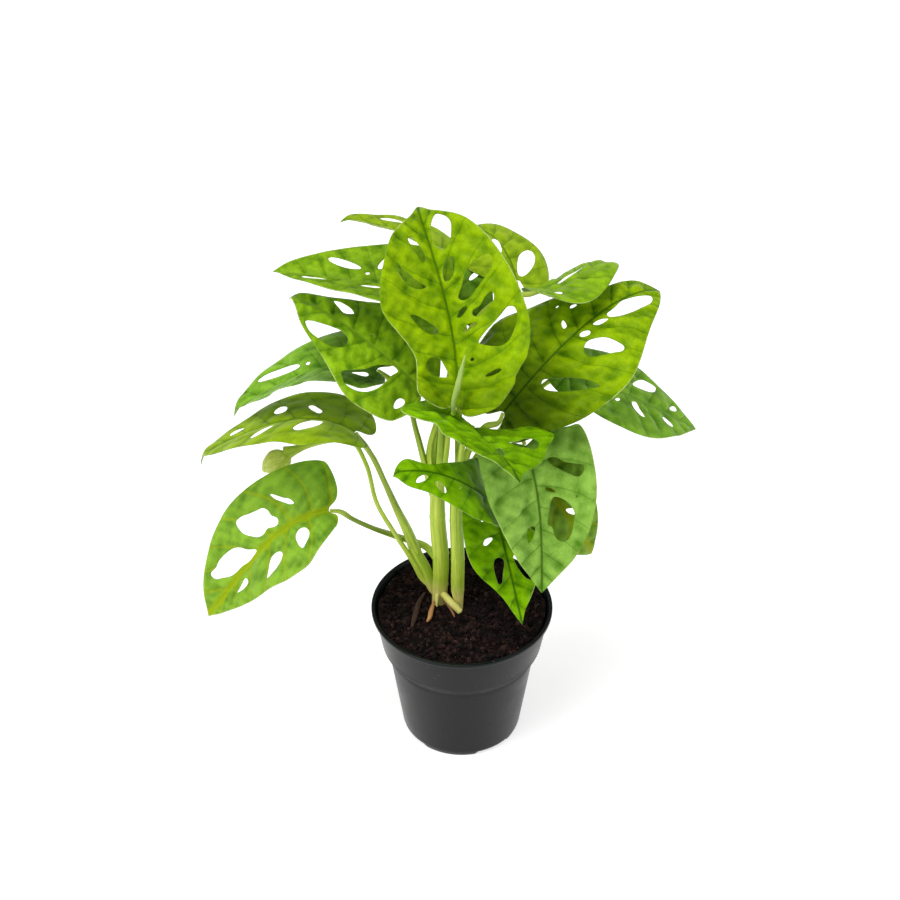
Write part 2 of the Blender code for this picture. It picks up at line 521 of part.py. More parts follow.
def petiole_route(name, points):
    # Adds the last stretch, which bends up to the blade and ends in its notch
    curve, along, up, _, _ = midrib(LEAVES[name])
    neck = math.radians(LEAVES[name].get("neck", 25))
    before = curve[0] - NECK_LENGTH * (along[0] * math.cos(neck) + up[0] * math.sin(neck))
    end = curve[0] + (0.2 + 0.6 * math.cos(neck)) * along[0] - 0.3 * up[0]
    return points + [(*before, PETIOLE_END + 0.2), (*end, PETIOLE_END)]


def make_stem(name, routes, material):
    trunk = bmesh.new()
    add_tube(trunk, routes["trunk"], 3, 12)
    stem = add_object(name, trunk, material)
    for key, points in routes.items():
        if key == "trunk":
            continue
        branch = bmesh.new()
        route = petiole_route(key, points) if key in LEAVES else points
        add_tube(branch, route, 2, 8)
        combine(stem, add_object("branch", branch), "UNION")
    return stem


def make_single(name, route, steps, sides, material):
    bm = bmesh.new()
    add_tube(bm, route, steps, sides)
    return add_object(name, bm, material)


def pot_profile():
    # Outer wall up from the base, over the lip and down the inside to the floor
    lip_foot = POT_HEIGHT - LIP_HEIGHT
    collar_top = RIM_RADIUS - LIP_WIDTH
    outer = [(0, 0), (BASE_RADIUS - 2, 0), (BASE_RADIUS - 0.4, 0.8), (BASE_RADIUS + 0.2, 3.5),
             (WALL_TOP_RADIUS, WALL_TOP_HEIGHT), (WALL_TOP_RADIUS + 1.5, WALL_TOP_HEIGHT + 1.5),
             (COLLAR_FOOT_RADIUS - 0.8, COLLAR_FOOT_HEIGHT - 1.5),
             (COLLAR_FOOT_RADIUS, COLLAR_FOOT_HEIGHT),
             (collar_top, lip_foot - 1), (RIM_RADIUS, lip_foot), (RIM_RADIUS, POT_HEIGHT - 0.4),
             (RIM_RADIUS - 0.4, POT_HEIGHT)]
    return outer + pot_inside()


def pot_inside():
    # The inner wall from the rim down to the floor's centre
    return [(RIM_RADIUS - 1.8, POT_HEIGHT), (RIM_RADIUS - 2.2, POT_HEIGHT - 0.6),
            (RIM_RADIUS - LIP_WIDTH - WALL, POT_HEIGHT - LIP_HEIGHT),
            (COLLAR_FOOT_RADIUS - WALL, COLLAR_FOOT_HEIGHT),
            (WALL_TOP_RADIUS - WALL, WALL_TOP_HEIGHT + 0.5),
            (BASE_RADIUS - WALL, BASE_THICKNESS), (0, BASE_THICKNESS)]


def notch_cutter():
    # Wedges under the edge of the base and a drain hole above each
    bm = bmesh.new()
    for number in range(NOTCH_COUNT):
        middle = math.radians(NOTCH_FIRST + number * 360 / NOTCH_COUNT)
        half = math.radians(NOTCH_SPAN / 2)
        angles = [middle + half * share for share in (-1, -0.5, 0, 0.5, 1)]
        outline = [(NOTCH_INNER_RADIUS, a) for a in angles]
        outline += [(BASE_RADIUS + 6, a) for a in reversed(angles)]
        low = [bm.verts.new((r * MM * math.cos(a), r * MM * math.sin(a), -MM)) for r, a in outline]
        high = [bm.verts.new((v.co.x, v.co.y, NOTCH_HEIGHT * MM)) for v in low]
        bm.faces.new(low)
        bm.faces.new(high)
        for i in range(len(low)):
            j = (i + 1) % len(low)
            bm.faces.new((low[i], low[j], high[j], high[i]))
    return add_object("notches", bm)


def drain_cutter():
    bm = bmesh.new()
    for number in range(NOTCH_COUNT):
        middle = math.radians(NOTCH_FIRST + number * 360 / NOTCH_COUNT)
        x, y = DRAIN_PLACE * math.cos(middle), DRAIN_PLACE * math.sin(middle)
        add_tube(bm, [(x, y, 1.5, DRAIN_RADIUS), (x, y, BASE_THICKNESS + 1.5, DRAIN_RADIUS)], 1, 12)
    return add_object("drains", bm)


def make_pot(material):
    bm = bmesh.new()
    lathe(bm, pot_profile(), POT_SEGMENTS)
    pot = add_object("pot", bm, material)
    combine(pot, notch_cutter(), "DIFFERENCE")
    combine(pot, drain_cutter(), "DIFFERENCE")
    return pot


def soil_height(x, y):
    # Low waves that make the surface uneven, flat where the roots lie
    waves = (math.sin(x * 0.23 + 1.1) * math.cos(y * 0.19) + 0.6 * math.sin(x * 0.41 - y * 0.37)
             + 0.4 * math.cos(x * 0.11 + y * 0.53))
    return SOIL_TOP + SOIL_BUMP * waves * min(1.0, math.hypot(x + 12, y + 2) / 40)


def make_soil(material):
    inside = pot_inside()
    wall = [(radius - CLEARANCE, height) for radius, height in inside[3:-1]][::-1]
    slope = (inside[2][0] - inside[3][0]) / (inside[2][1] - inside[3][1])
    edge = inside[3][0] - CLEARANCE + slope * (SOIL_TOP - 1 - inside[3][1])
    bottom = BASE_THICKNESS + CLEARANCE
    profile = [(0, bottom), (wall[0][0], bottom)] + wall[1:] + [(edge, SOIL_TOP - 1)]
    profile += [(edge * share, SOIL_TOP) for share in (0.93, 0.8, 0.65, 0.5, 0.35, 0.18)]
    profile.append((0, SOIL_TOP))
    bm = bmesh.new()
    lathe(bm, profile, SOIL_SEGMENTS)
    for vert in bm.verts:
        if vert.co.z > (SOIL_TOP - 0.5) * MM:
            vert.co.z = soil_height(vert.co.x / MM, vert.co.y / MM) * MM
    soil = add_object("soil", bm, material)
    for routes in (MAIN_STEM, SECOND_STEM):
        x, y, low, radius = routes["trunk"][0]
        wide = routes["trunk"][1][3] + CLEARANCE
        hole = bmesh.new()
        add_tube(hole, [(x, y, low - CLEARANCE, wide), (x, y, SOIL_TOP + 8, wide)], 1, 18)
        combine(soil, add_object("stem_hole", hole), "DIFFERENCE")
    return soil


def main():
    clear_scene()
    make_pot(make_material("pot_plastic", POT_BLACK, 0.45))
    make_soil(make_material("potting_soil", SOIL_BROWN, 0.95))
    stalk = make_material("stalk", STALK_GREEN, 0.4)
    make_stem("stem_main", MAIN_STEM, stalk)
    make_stem("stem_second", SECOND_STEM, make_material("second_stalk", STALK_GREEN, 0.4))
    for name, leaf in LEAVES.items():
        make_leaf(name, leaf, make_material(name + "_green", LEAF_GREEN, 0.35))
    make_single("leaf_rolled", ROLLED_LEAF, 3, 8, make_material("rolled_green", BUD_GREEN, 0.4))
    make_single("bud", BUD, 3, 12, make_material("bud_green", BUD_GREEN, 0.45))
    make_single("root_orange", ORANGE_ROOT, 3, 8, make_material("root_skin", ROOT_ORANGE, 0.6))
    make_single("root_brown", BROWN_ROOT, 2, 6, make_material("thin_root_skin", ROOT_BROWN, 0.7))


main()
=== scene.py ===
import math

import bpy
import numpy as np
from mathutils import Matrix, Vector


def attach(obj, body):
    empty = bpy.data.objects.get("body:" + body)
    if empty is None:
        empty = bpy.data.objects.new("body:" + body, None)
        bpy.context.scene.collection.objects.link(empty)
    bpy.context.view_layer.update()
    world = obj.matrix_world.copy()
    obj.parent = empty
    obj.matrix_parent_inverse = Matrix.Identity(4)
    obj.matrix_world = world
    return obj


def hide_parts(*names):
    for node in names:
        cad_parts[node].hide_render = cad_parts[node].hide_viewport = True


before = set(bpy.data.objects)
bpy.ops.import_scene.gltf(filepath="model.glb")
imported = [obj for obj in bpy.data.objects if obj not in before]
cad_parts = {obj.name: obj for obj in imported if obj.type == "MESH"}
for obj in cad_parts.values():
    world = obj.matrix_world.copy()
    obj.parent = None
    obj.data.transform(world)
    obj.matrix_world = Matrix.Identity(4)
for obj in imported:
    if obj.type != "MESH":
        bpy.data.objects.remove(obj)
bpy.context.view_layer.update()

mm = 0.001


def unit(vectors):
    # Each vector divided by its length
    return vectors / np.maximum(np.linalg.norm(vectors, axis=-1, keepdims=True), 1e-9)


def smoothStep(values, low, high):
    # 0 below low, 1 above high, and an S between them
    share = np.clip((values - low) / (high - low), 0, 1)
    return share * share * (3 - 2 * share)


def smoothCurve(points, steps):
    # Centripetal Catmull-Rom curve: each stretch blends the lines through its four nearest points
    points = np.asarray(points, float)
    ends = np.vstack([2 * points[0] - points[1], points, 2 * points[-1] - points[-2]])
    pieces = []
    for i in range(1, len(ends) - 2):
        p0, p1, p2, p3 = ends[i - 1:i + 3]
        t1 = np.linalg.norm(p1 - p0) ** 0.5
        t2 = t1 + np.linalg.norm(p2 - p1) ** 0.5
        t3 = t2 + np.linalg.norm(p3 - p2) ** 0.5
        t = np.linspace(t1, t2, steps, endpoint=False)[:, None]
        a1 = (t1 - t) / t1 * p0 + t / t1 * p1
        a2 = (t2 - t) / (t2 - t1) * p1 + (t - t1) / (t2 - t1) * p2
        a3 = (t3 - t) / (t3 - t2) * p2 + (t - t2) / (t3 - t2) * p3
        b1 = (t2 - t) / t2 * a1 + t / t2 * a2
        b2 = (t3 - t) / (t3 - t1) * a2 + (t - t1) / (t3 - t1) * a3
        pieces.append((t2 - t) / (t2 - t1) * b1 + (t - t1) / (t2 - t1) * b2)
    return np.vstack(pieces + [points[-1:]])


def waves(x, y, size, seed):
    # The mean of six crossed sine waves about size long, from -1 to 1
    chance = np.random.default_rng(seed)
    full, count = 6.28, 6  # a full turn in radians, and how many waves
    total = np.zeros(np.shape(x))
    for turn, phase, stretch in chance.uniform((0, 0, 0.7), (full, full, 1.4), (count, 3)):
        total += np.sin((x * math.cos(turn) + y * math.sin(turn)) * full * stretch / size + phase)
    return total / count


def grains(x, y, size, seed):
    # Random heights on a square lattice of that size, joined by S-shaped steps, from -1 to 1
    cells = 64  # the lattice repeats after these
    lattice = np.random.default_rng(seed).uniform(-1, 1, (cells, cells))
    column, row = np.floor(x / size), np.floor(y / size)
    across, up = x / size - column, y / size - row
    across, up = across ** 2 * (3 - 2 * across), up ** 2 * (3 - 2 * up)
    i, j = column.astype(int) % cells, row.astype(int) % cells
    nextI, nextJ = (i + 1) % cells, (j + 1) % cells
    near = lattice[i, j] * (1 - across) + lattice[nextI, j] * across
    far = lattice[i, nextJ] * (1 - across) + lattice[nextI, nextJ] * across
    return near * (1 - up) + far * up


def gridFaces(rows, columns, closed):
    # Quads between neighbours of a grid stored row by row; closed joins the last column to the first
    row = np.arange(rows - 1)[:, None] * columns
    here = np.arange(columns if closed else columns - 1)[None]
    there = (here + 1) % columns
    return np.stack([row + here, row + there, row + columns + there, row + columns + here],
                    -1).reshape(-1, 4)


def addPiece(name, points, faces, materials, replaced=None, slot=None, slots=None, facets=None,
             attributes=None):
    # Puts a mesh given in millimetres into the scene, on the plant's one body. slots says which
    # material each face has, and facets which faces are shaded flat
    mesh = bpy.data.meshes.new(name)
    mesh.from_pydata((points * mm).tolist(), [], [face for part in faces for face in part.tolist()])
    count = len(mesh.polygons)
    mesh.polygons.foreach_set("use_smooth", np.ones(count, bool) if facets is None else ~facets)
    if slots is not None:
        mesh.polygons.foreach_set("material_index", slots)
    for key, values in (attributes or {}).items():
        kind, field = ("FLOAT", "value") if values.ndim == 1 else ("FLOAT_VECTOR", "vector")
        mesh.attributes.new(key, kind, "POINT").data.foreach_set(field, values.astype(float).ravel())
    mesh.update()
    for material in materials:
        mesh.materials.append(material)
    piece = bpy.data.objects.new(name, mesh)
    bpy.context.scene.collection.objects.link(piece)
    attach(piece, "root")
    if replaced:
        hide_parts(replaced)


# Shader helpers

def rgba(colour):
    # The colour's three numbers, and 1 for solid
    return (*colour, 1.0)


def setInputs(tree, node, inputs):
    # An input is given a number, a vector or a colour, or is linked to a socket
    for key, value in inputs.items():
        if isinstance(value, bpy.types.NodeSocket):
            tree.links.new(value, node.inputs[key])
        elif isinstance(value, tuple) and len(value) == 3 and node.inputs[key].type == "RGBA":
            node.inputs[key].default_value = rgba(value)
        else:
            node.inputs[key].default_value = value
    return node.outputs


def addNode(tree, kind, inputs=None, **settings):
    # One node with its settings and inputs; returns its outputs
    node = tree.nodes.new("ShaderNode" + kind)
    for key, value in settings.items():
        setattr(node, key, value)
    return setInputs(tree, node, inputs or {})


def calc(tree, operation, first, second=0.0):
    # One step of arithmetic on two numbers or sockets
    return addNode(tree, "Math", {0: first, 1: second}, operation=operation)[0]


def times(tree, first, second):
    # The product of two numbers or sockets
    return calc(tree, "MULTIPLY", first, second)


def inverse(tree, value):
    # One divided by the value, which makes a size the scale of a pattern
    return calc(tree, "DIVIDE", 1.0, value)


def weigh(tree, *pairs):
    # The sum of each value times its weight
    total = times(tree, *pairs[0])
    for value, weight in pairs[1:]:
        total = calc(tree, "ADD", total, times(tree, value, weight))
    return total


def rampUp(tree, value, low, high, bottom=0.0, top=1.0):
    # An S-shaped rise from bottom to top while the value goes from low to high
    return addNode(tree, "MapRange", {"Value": value, "From Min": low, "From Max": high,
                                      "To Min": bottom, "To Max": top},
                   interpolation_type="SMOOTHSTEP")[0]


def mixColour(tree, share, first, second, how="MIX"):
    # The first colour where the share is 0, and the second laid over it where it is 1
    return addNode(tree, "Mix", {0: share, 6: first, 7: second}, data_type="RGBA", blend_type=how)[2]


def tint(tree, colour, mask, strength, tone):
    # Lays a tone over the colour where the mask is, at a share of its full strength
    return mixColour(tree, times(tree, mask, strength), colour, tone)


def readAttribute(tree, name, output="Vector"):
    # What the mesh stores under that name at each point
    return addNode(tree, "Attribute", attribute_name=name)[output]


def placeInMillimetres(tree):
    # The point's own x, y and z times a thousand
    place = addNode(tree, "TexCoord")["Object"]
    return addNode(tree, "VectorMath", {0: place, "Scale": 1 / mm}, operation="SCALE")[0]


def newGroup(name, inputs, outputs):
    # A shader node group with named sockets; returns its tree, its inputs and its output node
    group = bpy.data.node_groups.new(name, "ShaderNodeTree")
    for title, (kind, value) in inputs.items():
        socket = group.interface.new_socket(title, in_out="INPUT", socket_type="NodeSocket" + kind)
        if value is not None:
            socket.default_value = value
    for title, kind in outputs.items():
        group.interface.new_socket(title, in_out="OUTPUT", socket_type="NodeSocket" + kind)
    return group, group.nodes.new("NodeGroupInput").outputs, group.nodes.new("NodeGroupOutput")


def useGroup(tree, group, inputs):
    # Places a group in the tree with its own values; returns its outputs
    node = tree.nodes.new("ShaderNodeGroup")
    node.node_tree = group
    return setInputs(tree, node, inputs)


def newMaterial(name, constants):
    # A Principled material whose constants sit on the shader's own sockets
    material = bpy.data.materials.new(name)
    material.use_nodes = True
    tree = material.node_tree
    shader = tree.nodes["Principled BSDF"]
    setInputs(tree, shader, constants)
    return material, tree, shader


def addBump(tree, shader, height, distance, strength):
    # distance is the relief in millimetres that a height of 1 stands for
    bump = addNode(tree, "Bump", {"Strength": strength, "Distance": distance * mm, "Height": height})
    setInputs(tree, shader, {"Normal": bump[0]})


def makeMottling():
    # Soft blotches of one size: noise stretched so that it reaches 0 and 1
    group, given, end = newGroup("mottling", {"Vector": ("Vector", None), "Size": ("Float", 10.0),
                                              "Detail": ("Float", 2.0)}, {"Value": "Float"})
    noise = addNode(group, "TexNoise", {"Vector": given["Vector"], "Scale": inverse(group, given["Size"]),
                                        "Detail": given["Detail"], "Roughness": 0.55})
    setInputs(group, end, {"Value": rampUp(group, noise[0], 0.3, 0.7)})
    return group


def makeStreaks():
    # Lines along a stalk: noise squeezed along the third direction of the vector
    group, given, end = newGroup("streaks", {"Vector": ("Vector", None), "Width": ("Float", 0.6),
                                             "Stretch": ("Float", 20.0)}, {"Value": "Float"})
    squeeze = addNode(group, "CombineXYZ", {0: 1.0, 1: 1.0, 2: inverse(group, given["Stretch"])})
    vector = addNode(group, "VectorMath", {0: given["Vector"], 1: squeeze[0]}, operation="MULTIPLY")
    noise = addNode(group, "TexNoise", {"Vector": vector[0], "Scale": inverse(group, given["Width"]),
                                        "Detail": 3.0})
    setInputs(group, end, {"Value": rampUp(group, noise[0], 0.32, 0.68)})
    return group


def makeSpecks():
    # Small round marks: the cores of random cells, of which only a share is kept
    group, given, end = newGroup("specks", {"Vector": ("Vector", None), "Size": ("Float", 3.0),
                                            "Share": ("Float", 0.2)}, {"Mask": "Float"})
    cells = addNode(group, "TexVoronoi", {"Vector": given["Vector"],
                                          "Scale": inverse(group, given["Size"])})
    chance = addNode(group, "SeparateColor", {0: cells["Color"]})[0]
    core = rampUp(group, cells["Distance"], 0.12, 0.3, 1.0, 0.0)
    setInputs(group, end, {"Mask": times(group, calc(group, "LESS_THAN", chance, given["Share"]), core)})
    return group


def makeBladeVeins():
    # Reads the blade's attributes: flat holds x, y and the way to the outer margin, and veins
    # holds the lateral veins' number, the way between two of them and the painted shade and light of the
    # relief there
    group, given, end = newGroup(
        "bladeVeins", {"Midrib Width": ("Float", 1.2), "Lateral Width": ("Float", 0.7),
                       "Net Size": ("Float", 2.2), "Margin Width": ("Float", 0.6)},
        {"Midrib": "Float", "Laterals": "Float", "Net": "Float", "ReliefShade": "Float",
         "Margin": "Float", "Flat": "Vector"})
    flat = readAttribute(group, "flat")
    place = addNode(group, "SeparateXYZ", {0: flat})
    vein = addNode(group, "SeparateXYZ", {0: readAttribute(group, "veins")})
    midrib = rampUp(group, calc(group, "ABSOLUTE", place[1]), times(group, given["Midrib Width"], 0.3),
                    given["Midrib Width"], 1.0, 0.0)
    toNearest = calc(group, "SUBTRACT", vein[0], calc(group, "ROUND", vein[0]))
    away = times(group, calc(group, "ABSOLUTE", toNearest), vein[1])
    laterals = rampUp(group, away, 0.0, given["Lateral Width"], 1.0, 0.0)
    wobble = addNode(group, "TexNoise", {"Vector": flat, "Scale": 0.5, "Detail": 1.0})
    moved = addNode(group, "VectorMath", {0: flat, 1: wobble["Color"]}, operation="ADD")
    net = addNode(group, "TexVoronoi", {"Vector": moved[0], "Scale": inverse(group, given["Net Size"])},
                  feature="DISTANCE_TO_EDGE", voronoi_dimensions="2D")
    margin = rampUp(group, place[2], times(group, given["Margin Width"], 0.4), given["Margin Width"],
                    1.0, 0.0)
    setInputs(group, end, {"Midrib": midrib, "Laterals": laterals, "ReliefShade": vein[2], "Margin": margin,
                           "Net": rampUp(group, net["Distance"], 0.0, 0.12, 1.0, 0.0), "Flat": flat})
    return group


mottling = makeMottling()
streaks = makeStreaks()
specks = makeSpecks()
bladeVeins = makeBladeVeins()


def blotches(tree, vector, size, detail=2.0):
    # Soft patches about that size, from 0 to 1
    return useGroup(tree, mottling, {"Vector": vector, "Size": size, "Detail": detail})["Value"]


def linesAlong(tree, vector, width, stretch):
    # Lines about that wide, from 0 to 1, and as many times as long as the stretch says
    return useGroup(tree, streaks, {"Vector": vector, "Width": width, "Stretch": stretch})["Value"]


def dots(tree, vector, size, share):
    # Round marks, one in each cell of that size, in that share of the cells
    return useGroup(tree, specks, {"Vector": vector, "Size": size, "Share": share})["Mask"]


# Camera, light and floor

camera = {"distance": 1.2, "elevation": 36.15, "target": (-0.00789, 0.0, 0.2275), "lens": 76.97,
          "sensor": 36, "near": 0.05, "far": 50}
studio = {
    "sky": 0.40, "floorReach": 6.0, "floorColour": (0.6, 0.6, 0.6), "floorGlow": 0.66,
    # each lamp is a wide far softbox: where it stands, how wide it looks in degrees, its strength
    "lamps": {
        "top": {"from": (-0.28, -0.20, 1.0), "spread": 40, "strength": 2.0},
        "left": {"from": (-0.9, -0.6, 0.6), "spread": 30, "strength": 0.7},
        "right": {"from": (1.0, -0.5, 0.7), "spread": 30, "strength": 0.5},
    },
}


def makeCamera(look):
    # Stands back from the target along the line of sight
    tilt = math.radians(look["elevation"])
    data = bpy.data.cameras.new("camera")
    data.lens = look["lens"]
    data.sensor_width = look["sensor"]
    data.clip_start, data.clip_end = look["near"], look["far"]
    eye = bpy.data.objects.new("camera", data)
    back = Vector((0, -math.cos(tilt), math.sin(tilt)))
    eye.location = Vector(look["target"]) + look["distance"] * back
    eye.rotation_euler = (math.pi / 2 - tilt, 0, 0)
    bpy.context.scene.collection.objects.link(eye)
    bpy.context.scene.camera = eye


def makeSky(strength):
    # White where the camera sees it, and a dim even light on the plant
    world = bpy.data.worlds.new("sky")
    world.use_nodes = True
    tree = world.node_tree
    seen = addNode(tree, "LightPath")["Is Camera Ray"]
    setInputs(tree, tree.nodes["Background"], {"Color": (1.0, 1.0, 1.0),
                                               "Strength": calc(tree, "MAXIMUM", seen, strength)})
    return world


def makeFloor(light):
    # White paper that glows enough to stay white around the shadow
    reach = light["floorReach"]
    mesh = bpy.data.meshes.new("floor")
    corners = [(-reach, -reach, 0), (reach, -reach, 0), (reach, reach, 0), (-reach, reach, 0)]
    mesh.from_pydata(corners, [], [(0, 1, 2, 3)])
    mesh.materials.append(newMaterial("paper", {
        "Base Color": light["floorColour"], "Roughness": 0.9, "Specular IOR Level": 0.1,
        "Emission Color": (1.0, 1.0, 1.0), "Emission Strength": light["floorGlow"]})[0])
    floor = bpy.data.objects.new("floor", mesh)
    bpy.context.scene.collection.objects.link(floor)


def makeStudio(light):
    # Colours as they are, the sky, a wide sun for each lamp, and the floor
    scene = bpy.context.scene
    scene.view_settings.view_transform = "Standard"
    scene.view_settings.look = "None"
    scene.world = makeSky(light["sky"])
    for name, lamp in light["lamps"].items():
        data = bpy.data.lights.new(name, "SUN")
        data.angle = math.radians(lamp["spread"])
        data.energy = lamp["strength"]
        item = bpy.data.objects.new(name, data)
        item.location = lamp["from"]
        item.rotation_euler = (-Vector(lamp["from"])).to_track_quat("-Z", "Y").to_euler()
        scene.collection.objects.link(item)
    makeFloor(light)


makeCamera(camera)
makeStudio(studio)
print("studio ready")
